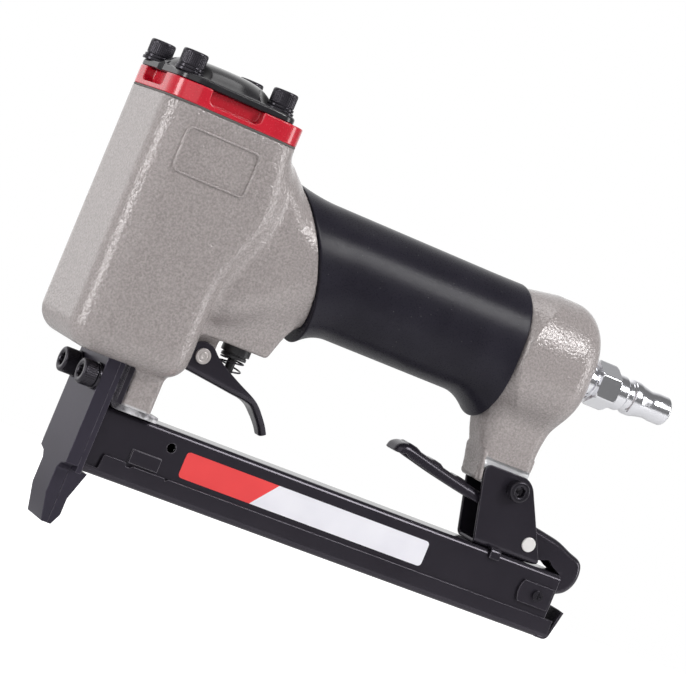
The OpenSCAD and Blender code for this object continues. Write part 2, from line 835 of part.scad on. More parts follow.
module handle_grip() {
  color("#2b2a2d") difference() {
    intersection() {
      union() {
        handle_slab(grip_r, flare_front, tail_rear - flare_front);
        difference() {
          handle_slab(grip_r + lip_h, flare_front, tail_rear - flare_front);
          difference() {
            before_plane(grip_rear - lip_l, grip_rear_tilt);
            before_plane(grip_front + lip_l, -grip_front_tilt);
          }
        }
      }
      difference() {
        before_plane(grip_rear, grip_rear_tilt);
        before_plane(grip_front + seat_gap, -grip_front_tilt);
      }
    }
    handle_slab(grip_inner_r, flare_front, tail_rear - flare_front);
  }
}

// Cap stack

module cap_outline(inset) {
  rounded_plate(
    [-head_front + inset, -head_w / 2 + inset],
    [head_rear - inset, head_w / 2 - inset],
    head_corner_r
  );
}

module cap_gasket() {
  color("#3a3a3a") translate([0, 0, head_top_z]) linear_extrude(gasket_t) difference() {
    cap_outline(seat_gap);
    circle(chamber_r);
    at_cap_screws() circle(clear_r);
  }
}

module pocket_outline() {
  floor_z = cap_top_z - pocket_h;
  translate([-pocket_w / 2, floor_z + pocket_r]) square([pocket_w, pocket_h - pocket_r + cut]);
  translate([-pocket_w / 2 + pocket_r, floor_z]) square([pocket_w - 2 * pocket_r, pocket_h + cut]);
  for (side = [-1, 1])
    translate([side * (pocket_w / 2 - pocket_r), floor_z + pocket_r]) circle(pocket_r);
}

module cap_pockets() {
  for (side = [-1, 1]) translate([0, side * head_w / 2, 0]) across(2 * pocket_d) pocket_outline();
  along_x(-head_front - cut, pocket_d + cut) pocket_outline();
  along_x(head_rear - pocket_d, pocket_d + cut) pocket_outline();
}

module cylinder_cap() {
  color("crimson") difference() {
    union() {
      translate([0, 0, cap_z]) linear_extrude(cap_h) cap_outline(0);
      translate([0, 0, spigot_z]) cylinder(r = collar_r, h = cap_z - spigot_z + cut);
    }
    translate([0, 0, spigot_z - cut]) cylinder(r = valve_bore_r, h = roof_z - spigot_z + cut);
    translate([0, 0, roof_z - cut]) cylinder(r = exhaust_r, h = cap_roof_t + 2 * cut);
    translate([0, 0, cap_z - cut]) at_cap_screws() cylinder(r = clear_r, h = cap_h + 2 * cut);
    cap_pockets();
  }
}

// Pressed dome: a solid of revolution that falls away towards its foot
module dome(r, h) {
  rotate_extrude() polygon(concat(
    [[0, 0]],
    [for (i = [dome_steps:-1:0]) let (share = i / dome_steps) [r * share, h * (1 - pow(share, dome_power))]]
  ));
}

module deflector_outline() {
  rounded_plate(
    [-head_front + deflector_inset, -head_w / 2 + deflector_inset],
    [deflector_rear, head_w / 2 - deflector_inset],
    deflector_corner_r
  );
}

module exhaust_deflector() {
  color("#1e1e20") translate([0, 0, deflector_z]) difference() {
    union() {
      linear_extrude(deflector_t) deflector_outline();
      translate([0, 0, deflector_t]) dome(dome_r, dome_h);
    }
    translate([0, 0, -cut]) cylinder(r = hollow_r, h = deflector_t + cut);
    translate([0, 0, deflector_t - seat_gap]) dome(hollow_r, hollow_h);
    translate([0, 0, deflector_t]) at_cap_screws() cylinder(r = washer_seat_r, h = dome_h);
    translate([0, 0, -cut]) at_cap_screws() cylinder(r = clear_r, h = deflector_t + 2 * cut);
    translate([-head_front - cut, -deflector_notch_w / 2, -cut])
      cube([deflector_inset + deflector_notch_d + cut, deflector_notch_w, deflector_t + cut]);
  }
}

module cap_screws() {
  color("#202022") translate([0, 0, cap_head_z]) at_cap_screws()
    socket_screw(m5_r, m5_head_r, m5_head_h, cap_head_z - head_top_z + cap_screw_reach);
}

module cap_flat_washers() {
  color("#2a2a2c") translate([0, 0, washer_z]) at_cap_screws() ring(flat_washer_r, clear_r, flat_washer_t);
}

module cap_spring_washers() {
  color("#2a2a2c") translate([0, 0, spring_washer_z]) at_cap_screws()
    ring(spring_washer_r, clear_r, spring_washer_t);
}

// Cylinder, piston and driver

module sleeve_grooves() {
  for (z = [chamber_z, chamber_z + sleeve_l * collar_up_share])
    translate([0, 0, z + collar_h / 2]) children();
}

module cylinder_sleeve() {
  color("silver") difference() {
    union() {
      translate([0, 0, chamber_z]) cylinder(r = sleeve_r, h = sleeve_l);
      sleeve_grooves() cylinder(r = collar_r, h = collar_h, center = true);
    }
    translate([0, 0, chamber_z - cut]) cylinder(r = sleeve_bore_r, h = sleeve_l + 2 * cut);
    sleeve_grooves() difference() {
      cylinder(r = chamber_r, h = oring_d + seat_gap, center = true);
      cylinder(r = collar_r - oring_d - seat_gap, h = collar_h, center = true);
    }
    for (i = [0:port_count - 1]) rotate([0, 0, 180 * (2 * i + 1) / port_count])
      translate([0, 0, chamber_z + bumper_h + port_r]) bar_x(port_r, 0, chamber_r);
  }
}

module sleeve_orings() {
  color("#161616") sleeve_grooves() oring(collar_r - oring_r, oring_r);
}

module piston_bumper() {
  color("#3b3b3b") translate([0, 0, chamber_z]) difference() {
    cylinder(r = sleeve_bore_r - 2 * seat_gap, h = bumper_h);
    translate([-slot_t / 2, -slot_w / 2, -cut]) cube([slot_t, slot_w, bumper_h + 2 * cut]);
  }
}

module piston() {
  color("gainsboro") translate([0, 0, piston_z]) difference() {
    cylinder(r = piston_r, h = piston_h);
    translate([0, 0, piston_h * groove_share]) difference() {
      cylinder(r = sleeve_bore_r, h = oring_d + seat_gap, center = true);
      cylinder(r = piston_r - oring_d - seat_gap, h = piston_h, center = true);
    }
    translate([-blade_t / 2 - seat_gap, -blade_w / 2 - seat_gap, -cut])
      cube([blade_t + 2 * seat_gap, blade_w + 2 * seat_gap, blade_tang + seat_gap + cut]);
    translate([0, 0, blade_tang / 2])
      bar_x(driver_pin_r + seat_gap, -driver_pin_l / 2 - seat_gap, driver_pin_l + 2 * seat_gap);
  }
}

module piston_oring() {
  color("#161616") translate([0, 0, piston_z + piston_h * groove_share]) oring(piston_r - oring_r, oring_r);
}

module driver_blade() {
  color("lightsteelblue") difference() {
    translate([-blade_t / 2, -blade_w / 2, blade_foot_z])
      cube([blade_t, blade_w, piston_z + blade_tang - blade_foot_z]);
    translate([0, 0, piston_z + blade_tang / 2]) bar_x(driver_pin_r + seat_gap, -cut, 2 * cut);
  }
}

module driver_pin() {
  color("silver") translate([0, 0, piston_z + blade_tang / 2])
    bar_x(driver_pin_r, -driver_pin_l / 2, driver_pin_l);
}

// Head valve

module head_valve() {
  color("whitesmoke") translate([0, 0, head_valve_z]) difference() {
    cylinder(r = head_valve_r, h = head_valve_h);
    translate([0, 0, head_valve_h - valve_recess_h]) cylinder(r = valve_recess_r, h = head_valve_h);
    translate([0, 0, -cut]) cylinder(r = exhaust_r, h = head_valve_h);
    translate([0, 0, head_valve_h * groove_share]) difference() {
      cylinder(r = valve_bore_r, h = oring_d + seat_gap, center = true);
      cylinder(r = head_valve_r - oring_d - seat_gap, h = head_valve_h, center = true);
    }
  }
}

module head_valve_oring() {
  color("#161616") translate([0, 0, head_valve_z + head_valve_h * groove_share])
    oring(head_valve_r - oring_r, oring_r);
}

module head_valve_spring() {
  seat_z = head_valve_z + head_valve_h - valve_recess_h + seat_gap;
  l = roof_z - seat_gap - seat_z;
  color("silver") translate([0, 0, seat_z])
    coil_spring("head_valve_spring", head_spring_r, head_wire_r, head_spring_turns, l);
}

// Nose

module front_plate_outline() {
  half = nose_w / 2;
  tip = tip_w / 2;
  polygon([
    [-tip, 0], [tip, 0], [tip, tip_h - shoulder_r], [tip + shoulder_r, tip_h], [half, tip_h + shoulder_r / 2],
    [half, nose_top_z], [-half, nose_top_z], [-half, tip_h + shoulder_r / 2], [-tip - shoulder_r, tip_h],
    [-tip, tip_h - shoulder_r]
  ]);
}

module nose_front_plate() {
  color("#29282c") difference() {
    along_x(-nose_front, nose_front + nose_joint) front_plate_outline();
    translate([-groove_x, -groove_w / 2, -cut]) cube([nose_front, groove_w, nose_top_z + 2 * cut]);
    across(nose_w) polygon([
      [-nose_front - cut, bevel_h],
      [-nose_front, bevel_h],
      [-nose_front + tip_bevel, 0],
      [-nose_front + tip_bevel, -cut],
      [-nose_front - cut, -cut]
    ]);
    at_nose_screws() bar_x(clear_r, -nose_front - cut, nose_front + nose_joint + 2 * cut);
  }
}

module nose_back_plate() {
  wedge = back_plate_heel - nose_joint;
  color("#242327") difference() {
    union() {
      along_x(nose_joint, back_plate_t)
        translate([-nose_w / 2, wedge_top_z]) square([nose_w, nose_top_z - wedge_top_z]);
      across(tip_w) polygon([
        [nose_joint, 0],
        [nose_joint + wedge * wedge_foot_share, 0],
        [nose_joint + wedge * wedge_low_share, wedge_top_z * wedge_foot_share],
        [nose_joint + wedge * wedge_low_share, wedge_top_z * wedge_low_share],
        [back_plate_heel, wedge_top_z],
        [back_face_x, wedge_top_z],
        [back_face_x, wedge_top_z + cut],
        [nose_joint, wedge_top_z + cut]
      ]);
    }
    translate([nose_joint - cut, -window_w / 2, window_z]) cube([back_plate_t + 2 * cut, window_w, window_h]);
    at_nose_screws() bar_x(clear_r, 0, back_face_x + cut);
  }
}

module nose_spacer() {
  color("#1c1c1e") difference() {
    along_x(leaf_rear_x, spacer_t)
      translate([-nose_w / 2, foot_floor_z]) square([nose_w, nose_top_z - foot_floor_z]);
    at_nose_screws() bar_x(clear_r, leaf_rear_x - cut, spacer_t + 2 * cut);
  }
}

module nose_screws() {
  seat_x = -nose_front - nose_washer_t;
  color("#202022") at_nose_screws() translate([seat_x, 0, 0]) rotate([0, -90, 0])
    socket_screw(m5_r, m5_head_r, m5_head_h, nose_screw_end - seat_x);
}

module nose_washers() {
  color("#2a2a2c") at_nose_screws() translate([-nose_front - nose_washer_t, 0, 0]) rotate([0, 90, 0])
    ring(spring_washer_r, clear_r, nose_washer_t);
}

// Magazine

module magazine_bracket() {
  color("#1f1f22") difference() {
    union() {
      along_x(back_face_x, bracket_leaf_t)
        translate([-nose_w / 2, magazine_top_z]) square([nose_w, nose_top_z - magazine_top_z]);
      along_x(back_face_x, bracket_flange_rear - back_face_x)
        translate([-bracket_flange_w / 2, magazine_top_z]) square([bracket_flange_w, bracket_flange_t]);
    }
    at_nose_screws() bar_x(clear_r, back_face_x - cut, bracket_leaf_t + 2 * cut);
  }
}

module channel_outline() {
  difference() {
    union() {
      rounded_plate([-channel_half, channel_floor_z], [channel_half, magazine_top_z], magazine_bend_r);
      translate([-channel_half, channel_floor_z]) square([magazine_w, magazine_bend_r]);
    }
    translate([-channel_in, channel_floor_z - cut])
      square([2 * channel_in, magazine_top_z - magazine_wall - channel_floor_z + cut]);
  }
}

module fixed_magazine() {
  color("#262529") difference() {
    union() {
      along_x(channel_front, magazine_rear - channel_front) channel_outline();
      on_both_sides(channel_half - cut * seat_gap, pad_t + cut * seat_gap)
        translate([pad_x, pad_z]) square([pad_l, pad_h]);
    }
    translate([guide_hole_x, 0, guide_hole_z]) bar_y(guide_hole_r, 2 * magazine_w);
    translate([clip_screw_x, 0, clip_screw_z]) bar_y(clip_thread_r + seat_gap, 2 * magazine_w);
  }
}

module slider_outline(wall_z) {
  inner = channel_half + run_gap;
  translate([-slider_half, slider_floor_z]) square([2 * slider_half, magazine_wall]);
  for (y = [-slider_half, inner])
    translate([y, slider_floor_z]) square([slider_wall, wall_z - slider_floor_z]);
}

module magazine_slider() {
  notch_end = slider_front + slider_notch_l;
  color("#232226") {
    along_x(slider_front, slider_notch_l) slider_outline(slider_wall_z - slider_notch_h);
    along_x(notch_end, slider_rear - notch_end) slider_outline(slider_wall_z);
    on_both_sides(channel_half + run_gap, slider_wall)
      translate([magazine_rear + run_gap, slider_floor_z]) square([slider_tab_l, slider_tab_h]);
  }
}

module staple_rail() {
  color("#6d6d72") difference() {
    along_x(slider_front, rail_rear - slider_front)
      translate([-rail_half, slider_in_z]) square([rail_w, rail_h]);
    along_x(slider_front - cut, rail_rear - slider_front + 2 * cut)
      translate([-rail_half + rail_wall, slider_in_z - cut])
        square([rail_w - 2 * rail_wall, rail_h - rail_wall + cut]);
    translate([pusher_front - run_gap, -pusher_lug_w / 2 - run_gap, rail_top_z - rail_wall - cut])
      cube([rail_rear, pusher_lug_w + 2 * run_gap, rail_wall + 2 * cut]);
  }
}

module strip_outline() {
  half = staple_w / 2;
  difference() {
    translate([-half, strip_top_z - staple_leg]) square([staple_w, staple_leg]);
    translate([-half + staple_t, strip_top_z - staple_leg - cut])
      square([staple_w - 2 * staple_t, staple_leg - staple_t + cut]);
  }
}

module staple_strip() {
  color("silver") along_x(strip_front, strip_l) strip_outline();
}

module staple_pusher() {
  inner = rail_half + strip_gap;
  color("#8a8a8e") difference() {
    union() {
      along_x(pusher_front, pusher_l) difference() {
        translate([-pusher_half, pusher_floor_z]) square([2 * pusher_half, strip_top_z - pusher_floor_z]);
        translate([-inner, pusher_floor_z - cut]) square([2 * inner, crown_z - pusher_floor_z + cut]);
      }
      along_x(pusher_front, lug_t) {
        translate([-pusher_lug_w / 2, rod_z]) square([pusher_lug_w, strip_top_z - rod_z]);
        translate([0, rod_z]) circle(pusher_spring_r);
      }
    }
    translate([0, 0, rod_z]) bar_x(pusher_rod_r + 2 * seat_gap, pusher_front - cut, lug_t + 2 * cut);
  }
}

module pusher_rod() {
  color("gainsboro") translate([0, 0, rod_z]) bar_x(pusher_rod_r, slider_front, rail_rear - slider_front);
}

module pusher_spring() {
  l = end_block_x - seat_gap - pusher_spring_x;
  color("silver") translate([pusher_spring_x, 0, rod_z]) rotate([0, 90, 0])
    coil_spring("pusher_spring", pusher_spring_r, pusher_wire_r, pusher_spring_turns, l);
}

module slider_end_block() {
  color("#2a2a2d") difference() {
    along_x(end_block_x, end_block_l)
      translate([-rail_half + rail_wall + seat_gap, slider_in_z])
        square([rail_w - 2 * (rail_wall + seat_gap), rail_h - rail_wall - seat_gap]);
    translate([0, 0, rod_z]) bar_x(pusher_rod_r + seat_gap, end_block_x - cut, end_block_l + 2 * cut);
  }
}

// Rear bracket and latch

module bracket_outline() {
  polygon([for (p = bracket_shares) [bracket_front + p[0] * bracket_l, magazine_top_z + p[1] * bracket_h]]);
}

module rear_bracket() {
  base_x = bracket_front + bracket_l * bracket_base_front_share;
  base_l = bracket_l * (bracket_base_rear_share - bracket_base_front_share);
  color("#262529") difference() {
    union() {
      on_both_sides(bracket_gap / 2, bracket_t) bracket_outline();
      translate([base_x, -bracket_outer, magazine_top_z]) cube([base_l, 2 * bracket_outer, bracket_t]);
    }
    translate([rear_bolt_x, 0, rear_bolt_z]) bar_y(bolt_hole_r, 4 * bracket_outer);
    translate([latch_x, 0, latch_z]) bar_y(latch_rivet_r + seat_gap, 4 * bracket_outer);
  }
}

module rear_bolt() {
  color("#202022") translate([rear_bolt_x, -bracket_outer, rear_bolt_z]) rotate([90, 0, 0])
    socket_screw(m4_r, m4_head_r, m4_head_h, 2 * bracket_outer + rear_nut_t + bolt_tail);
}

module rear_nut() {
  color("#2a2a2c") translate([rear_bolt_x, bracket_outer, rear_bolt_z]) rotate([-90, 0, 0]) difference() {
    cylinder(r = rear_nut_r, h = rear_nut_t, $fn = 6);
    translate([0, 0, -cut]) cylinder(r = bolt_hole_r, h = rear_nut_t + 2 * cut);
  }
}

function latch_points(shares) = [for (p = shares) [latch_x + p[0] * latch_l, latch_z + p[1] * latch_h]];

module latch_outline() {
  polygon(concat(latch_points(latch_top_shares), latch_points(latch_low_shares)));
}

// Band of sheet under the top and rear edge of the latch
module latch_web_outline() {
  top = latch_points(latch_top_shares);
  intersection() {
    latch_outline();
    polygon(concat(top, inner_edge(top, latch_t)));
  }
}

module latch_lever() {
  color("#201f23") difference() {
    union() {
      on_both_sides(latch_w / 2 - latch_t, latch_t) latch_outline();
      across(latch_w) latch_web_outline();
    }
    translate([latch_x, 0, latch_z]) bar_y(latch_rivet_r + seat_gap, 2 * latch_w);
  }
}

module latch_rivet() {
  color("whitesmoke") translate([latch_x, 0, latch_z])
    bar_y(latch_rivet_r, 2 * (bracket_outer + latch_rivet_end));
}

module latch_spring() {
  color("silver") translate([latch_x, latch_spring_l / 2, latch_z]) rotate([90, 0, 0])
    coil_spring("latch_spring", latch_spring_r, latch_wire_r, latch_spring_turns, latch_spring_l);
}

module clip_outline() {
  translate([clip_x + clip_h / 2, clip_z]) square([clip_l - clip_h / 2, clip_h]);
  intersection() {
    translate([clip_x + clip_h, clip_z + clip_h / 2]) circle(clip_h);
    translate([clip_x, clip_z]) square([clip_l, clip_h]);
  }
}

module rear_clips() {
  color("#242327") difference() {
    on_both_sides(channel_half, clip_t) clip_outline();
    translate([clip_screw_x, 0, clip_screw_z]) bar_y(clip_thread_r + seat_gap, 2 * magazine_w);
  }
}

module clip_screws() {
  color("#1c1c1e") for (side = [0, 1]) mirror([0, side, 0])
    translate([clip_screw_x, -channel_half - clip_t, clip_screw_z]) rotate([90, 0, 0])
      difference() {
        union() {
          cylinder(r = clip_screw_r, h = clip_t);
          translate([0, 0, -clip_screw_l]) cylinder(r = clip_thread_r, h = clip_screw_l + cut);
        }
        for (turn = [0, 90]) rotate([0, 0, turn])
          translate([-clip_slot_l / 2, -clip_slot_w / 2, clip_t / 2])
            cube([clip_slot_l, clip_slot_w, clip_t]);
      }
}

// Trigger

function trigger_point(share) = [trigger_x + share[0] * trigger_l, trigger_z + share[1] * trigger_drop];

module trigger_wall_outline() {
  translate([trigger_x, trigger_z]) circle(trigger_ear_r);
  polygon(concat(
    [trigger_point(trigger_heel_share), trigger_point(trigger_bend_share)],
    [for (p = trigger_top_shares) trigger_point(p)]
  ));
}

module trigger_web_outline() {
  heel = trigger_point(trigger_heel_share);
  bend = trigger_point(trigger_bend_share);
  polygon([heel, bend, bend + [0, web_rise], heel + [0, web_rise]]);
}

// Finger end: a sheet that goes on from the web and bends down behind the walls
module finger_outline() {
  bend = trigger_point(trigger_bend_share);
  start = trigger_point(trigger_top_shares[0]);
  back = [for (p = finger_shares) start + [p[0] * finger_l, p[1] * finger_drop]];
  polygon(concat(back, inner_edge(back, finger_t), [bend, bend + [0, web_rise]]));
}

module trigger() {
  color("#28272b") difference() {
    union() {
      on_both_sides(trigger_w / 2 - trigger_t, trigger_t) trigger_wall_outline();
      across(trigger_w) trigger_web_outline();
      across(finger_w) finger_outline();
    }
    translate([trigger_x, 0, trigger_z]) bar_y(pin_hole_r, 2 * trigger_w);
  }
}

module trigger_pin() {
  color("gainsboro") translate([trigger_x, 0, trigger_z]) bar_y(trigger_pin_r, trigger_w + 2 * pin_end);
}

// Trigger valve

module valve_grooves() {
  for (share = valve_groove_shares) translate([valve_x, 0, valve_low_z + valve_h * share]) children();
}

module valve_body() {
  color("#2a2a2c") difference() {
    translate([valve_x, 0, valve_low_z]) difference() {
      cylinder(r = valve_r, h = valve_h);
      translate([0, 0, -cut]) cylinder(r = stem_guide_r, h = valve_h);
      translate([0, 0, stem_guide_h]) cylinder(r = stem_chamber_r, h = valve_h);
    }
    valve_grooves() difference() {
      cylinder(r = valve_r + cut, h = valve_oring_d + seat_gap, center = true);
      cylinder(r = valve_r - valve_oring_d, h = valve_h, center = true);
    }
  }
}

module valve_orings() {
  section_r = (valve_oring_d - seat_gap) / 2;
  color("#161616") valve_grooves() oring(valve_r - section_r, section_r);
}

module valve_stem() {
  piston_low_z = valve_low_z + stem_guide_h + run_gap;
  color("#1e1e20") translate([valve_x, 0, 0]) {
    translate([0, 0, stem_low_z]) cylinder(r = stem_r, h = piston_low_z - stem_low_z + cut);
    translate([0, 0, piston_low_z]) cylinder(r = stem_piston_r, h = stem_piston_h);
  }
}

module valve_spring() {
  spring_low_z = stem_low_z + stem_gap;
  l = valve_low_z - seat_gap - spring_low_z;
  color("#4a4a4d") translate([valve_x, 0, spring_low_z])
    coil_spring("valve_spring", valve_spring_r, valve_wire_r, valve_spring_turns, l);
}

// Air plug: outline of the nose as shares of its length and of the collar radius
plug_nose_shares = [
  [0, 1], [0.15, 1], [0.15, 1.06], [0.25, 1.06], [0.27, 0.84], [0.33, 0.84], [0.35, 1], [0.41, 1]
];
nipple_start_share = 0.58;
nipple_end_share = 0.96;
nipple_chamfer = 0.9;

module air_plug() {
  color("gainsboro") translate([0, 0, handle_z]) difference() {
    union() {
      bar_x(plug_thread_r, tail_rear - plug_thread_l, plug_x - tail_rear + plug_thread_l + cut);
      translate([plug_x, 0, 0]) rotate([0, 90, 0]) cylinder(r = plug_hex_r, h = plug_hex_l, $fn = 6);
      translate([plug_nose_x, 0, 0]) rotate([0, 90, 0]) rotate_extrude() polygon(concat(
        [[0, 0]],
        [for (p = plug_nose_shares) [plug_collar_r * p[1], plug_nose_l * p[0]]],
        [
          [plug_nipple_r, plug_nose_l * nipple_start_share],
          [plug_nipple_r, plug_nose_l * nipple_end_share],
          [plug_nipple_r - nipple_chamfer, plug_nose_l],
          [0, plug_nose_l]
        ]
      ));
    }
    bar_x(plug_bore_r, 0, 2 * tail_rear);
  }
}

module plug_seal() {
  color("ghostwhite") translate([tail_rear, 0, handle_z]) rotate([0, 90, 0])
    ring(plug_seal_r, plug_thread_r + seat_gap, plug_seal_t);
}

body_casting();
handle_grip();
cap_gasket();
cylinder_cap();
exhaust_deflector();
cap_screws();
cap_flat_washers();
cap_spring_washers();
cylinder_sleeve();
sleeve_orings();
piston_bumper();
piston();
piston_oring();
driver_blade();
driver_pin();
head_valve();
head_valve_oring();
head_valve_spring();
nose_front_plate();
nose_back_plate();
nose_spacer();
nose_screws();
nose_washers();
magazine_bracket();
fixed_magazine();
magazine_slider();
staple_rail();
staple_strip();
staple_pusher();
pusher_rod();
pusher_spring();
slider_end_block();
rear_bracket();
rear_bolt();
rear_nut();
latch_lever();
latch_rivet();
latch_spring();
rear_clips();
clip_screws();
trigger();
trigger_pin();
valve_body();
valve_orings();
valve_stem();
valve_spring();
air_plug();
plug_seal();
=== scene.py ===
import math

import bmesh
import bpy
import numpy as np
from mathutils import Matrix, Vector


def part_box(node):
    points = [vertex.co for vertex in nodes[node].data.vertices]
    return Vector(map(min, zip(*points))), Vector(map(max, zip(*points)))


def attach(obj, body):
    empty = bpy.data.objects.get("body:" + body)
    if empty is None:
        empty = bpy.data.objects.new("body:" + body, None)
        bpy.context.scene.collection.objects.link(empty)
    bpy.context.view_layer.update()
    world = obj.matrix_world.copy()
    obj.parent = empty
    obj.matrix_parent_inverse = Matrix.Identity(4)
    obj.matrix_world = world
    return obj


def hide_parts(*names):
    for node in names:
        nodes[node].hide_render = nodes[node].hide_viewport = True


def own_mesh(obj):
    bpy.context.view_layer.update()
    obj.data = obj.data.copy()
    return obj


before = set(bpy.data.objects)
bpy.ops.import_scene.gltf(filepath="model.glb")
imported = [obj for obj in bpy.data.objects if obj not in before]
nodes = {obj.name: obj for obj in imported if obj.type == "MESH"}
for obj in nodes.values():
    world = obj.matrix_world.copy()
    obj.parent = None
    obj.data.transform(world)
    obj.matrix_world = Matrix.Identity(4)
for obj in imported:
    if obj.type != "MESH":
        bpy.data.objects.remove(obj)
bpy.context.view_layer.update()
mm = 0.001
tau = 2 * math.pi
xAxis, yAxis, zAxis = np.eye(3)
print("frame loaded:", len(nodes), "nodes")

# places that several pieces share: X and Y of the cap screws, Y and Z of the nose screws, X and Z of the rest
places = {
    "capScrew": (16.7, 15.4), "noseScrew": (9.75, 50.0), "triggerPin": (28.8, 68.2),
    "rearBolt": (155.6, 64.6), "latchRivet": (168.7, 48.6), "valveX": 41.9, "handleZ": 109.0,
}


# small tools for meshes, all lengths in mm

# length of a vector set to one
def unit(v):
    v = np.asarray(v, float)
    return v / np.linalg.norm(v)


# cubic ease 3t^2 - 2t^3 between 0 and 1
def easeStep(t):
    t = np.clip(t, 0, 1)
    return t * t * (3 - 2 * t)


# straight mix a + (b - a) t
def mixed(a, b, t):
    return a + (b - a) * t


# axis, a side at right angles to it from the first choice that doesn't run along it, and their cross product
def crossAxes(axis, first, second):
    axis = unit(axis)
    side = first if abs(axis @ first) < 0.9 else second
    side = unit(side - axis * (side @ axis))
    return axis, side, np.cross(axis, side)


# lowest and highest corner of a node, in mm
def boxMm(node):
    low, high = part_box(node)
    return np.array(low) / mm, np.array(high) / mm


# border between inside and outside, by repeated halving of the stretch that holds it
def findBorder(inside, low, high, count):
    for _ in range(count):
        middle = (low + high) / 2
        held = inside(middle)
        low, high = np.where(held, middle, low), np.where(held, high, middle)
    return low, high


# points in mm and faces by index become one mesh at the origin
def makePiece(name, points, faces):
    mesh = bpy.data.meshes.new(name)
    faces = faces.tolist() if isinstance(faces, np.ndarray) else faces
    mesh.from_pydata((np.asarray(points, float).reshape(-1, 3) * mm).tolist(), [], faces)
    mesh.polygons.foreach_set("use_smooth", np.full(len(mesh.polygons), True))
    mesh.update()
    piece = bpy.data.objects.new(name, mesh)
    bpy.context.scene.collection.objects.link(piece)
    return piece


# merges poles and seams, then turns every face outwards
def closeSeams(piece, near=0.002):
    form = bmesh.new()
    form.from_mesh(piece.data)
    bmesh.ops.remove_doubles(form, verts=form.verts, dist=near * mm)
    bmesh.ops.dissolve_degenerate(form, edges=form.edges, dist=near * mm * 0.5)
    bmesh.ops.recalc_face_normals(form, faces=form.faces)
    form.to_mesh(piece.data)
    form.free()
    piece.data.polygons.foreach_set("use_smooth", np.full(len(piece.data.polygons), True))
    return piece


# normals follow the large faces, so flats stay flat beside small roundings
def weighNormals(piece, sharp=None):
    if sharp:
        piece.data.set_sharp_from_angle(angle=math.radians(sharp))
    weigh = piece.modifiers.new("weigh", "WEIGHTED_NORMAL")
    weigh.weight = 80
    weigh.keep_sharp = True
    return piece


# puts a finish on a piece, hides what it stands for and hangs it on the body it rides on
def dress(piece, finish, stands=(), slot=None, body="frame_body"):
    piece.data.materials.append(finishes[finish])
    if stands:
        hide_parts(*stands)
    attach(piece, body)
    return piece


# four-sided faces between neighbouring rows and columns of a grid
def gridFaces(rows, columns, wrapColumns=True, wrapRows=False, first=0):
    i = np.arange(rows if wrapRows else rows - 1)[:, None]
    j = np.arange(columns if wrapColumns else columns - 1)[None, :]
    up, on = (i + 1) % rows, (j + 1) % columns
    corners = [i * columns + j, i * columns + on, up * columns + on, up * columns + j]
    return first + np.stack(corners, -1).reshape(-1, 4)


# grids of one kind, each closed round its columns, become one finished piece
def gridPiece(name, grids, finish, stands=(), sharp=40, wrapRows=False, near=0.002, **dressing):
    faces, count = [], 0
    for grid in grids:
        faces.append(gridFaces(*grid.shape[:2], wrapRows=wrapRows, first=count))
        count += grid.shape[0] * grid.shape[1]
    points = np.concatenate([g.reshape(-1, 3) for g in grids])
    piece = closeSeams(makePiece(name, points, np.concatenate(faces)), near)
    if sharp:
        weighNormals(piece, sharp)
    return dress(piece, finish, stands, **dressing)


# each corner p is replaced by the curve (1-t)^2 a + 2t(1-t) p + t^2 b, with a and b set back by its own cut
def filletLine(corners, cuts, steps=5, closed=False):
    p = np.asarray(corners, float)
    before, after = np.roll(p, 1, 0) - p, np.roll(p, -1, 0) - p
    lb, la = np.linalg.norm(before, axis=1), np.linalg.norm(after, axis=1)
    cut = np.broadcast_to(np.asarray(cuts, float), len(p)).copy()
    if not closed:
        cut[[0, -1]] = 0
    cut = np.minimum(cut, 0.49 * np.minimum(lb, la))
    a = p + before * (cut / np.maximum(lb, 1e-9))[:, None]
    b = p + after * (cut / np.maximum(la, 1e-9))[:, None]
    t = np.linspace(0, 1, steps)[None, :, None]
    line = (1 - t) ** 2 * a[:, None] + 2 * t * (1 - t) * p[:, None] + t * t * b[:, None]
    line = line.reshape(-1, p.shape[1])
    keep = np.ones(len(line), bool)
    keep[1:] = np.linalg.norm(np.diff(line, axis=0), axis=1) > 1e-5
    return line[keep]


# curve through all points: on each stretch half of 2b + (c-a)t + (2a-5b+4c-d)t^2 + (3b-a-3c+d)t^3
def smoothLine(points, steps=7):
    p = np.asarray(points, float)
    p = np.concatenate([2 * p[:1] - p[1:2], p, 2 * p[-1:] - p[-2:-1]])
    a, b, c, d = (p[k:len(p) - 3 + k, None] for k in range(4))
    t = (np.arange(steps) / steps)[None, :, None]
    line = 2 * b + (c - a) * t + (2 * a - 5 * b + 4 * c - d) * t ** 2 + (3 * b - a - 3 * c + d) * t ** 3
    return np.concatenate([0.5 * line.reshape(-1, p.shape[1]), p[-2:-1]])


# a turned form, row by row: origin + height * axis + radius (cos a * side + sin a * third);
# the radius of a row is one number or one per column
def turnedGrid(rows, columns, origin, axis, side=zAxis):
    axis, side, third = crossAxes(axis, side, xAxis)
    angle = np.arange(columns) / columns * tau
    ring = np.cos(angle)[:, None] * side + np.sin(angle)[:, None] * third
    radius = np.stack([np.broadcast_to(r, columns) for r, _ in rows])[:, :, None]
    height = np.array([h for _, h in rows], float)[:, None, None]
    return np.asarray(origin, float) + height * axis + radius * ring


# distance from the middle of a hexagon to its side at each angle, for a half width across the flats
def hexRadius(half, columns):
    angle = np.arange(columns) / columns * tau
    return half / np.cos((angle % (tau / 6)) - tau / 12)


coilForm = {"sides": 12, "perTurn": 40, "close": 2.06, "ends": 0.8, "flat": 0.5, "ease": 0.6}


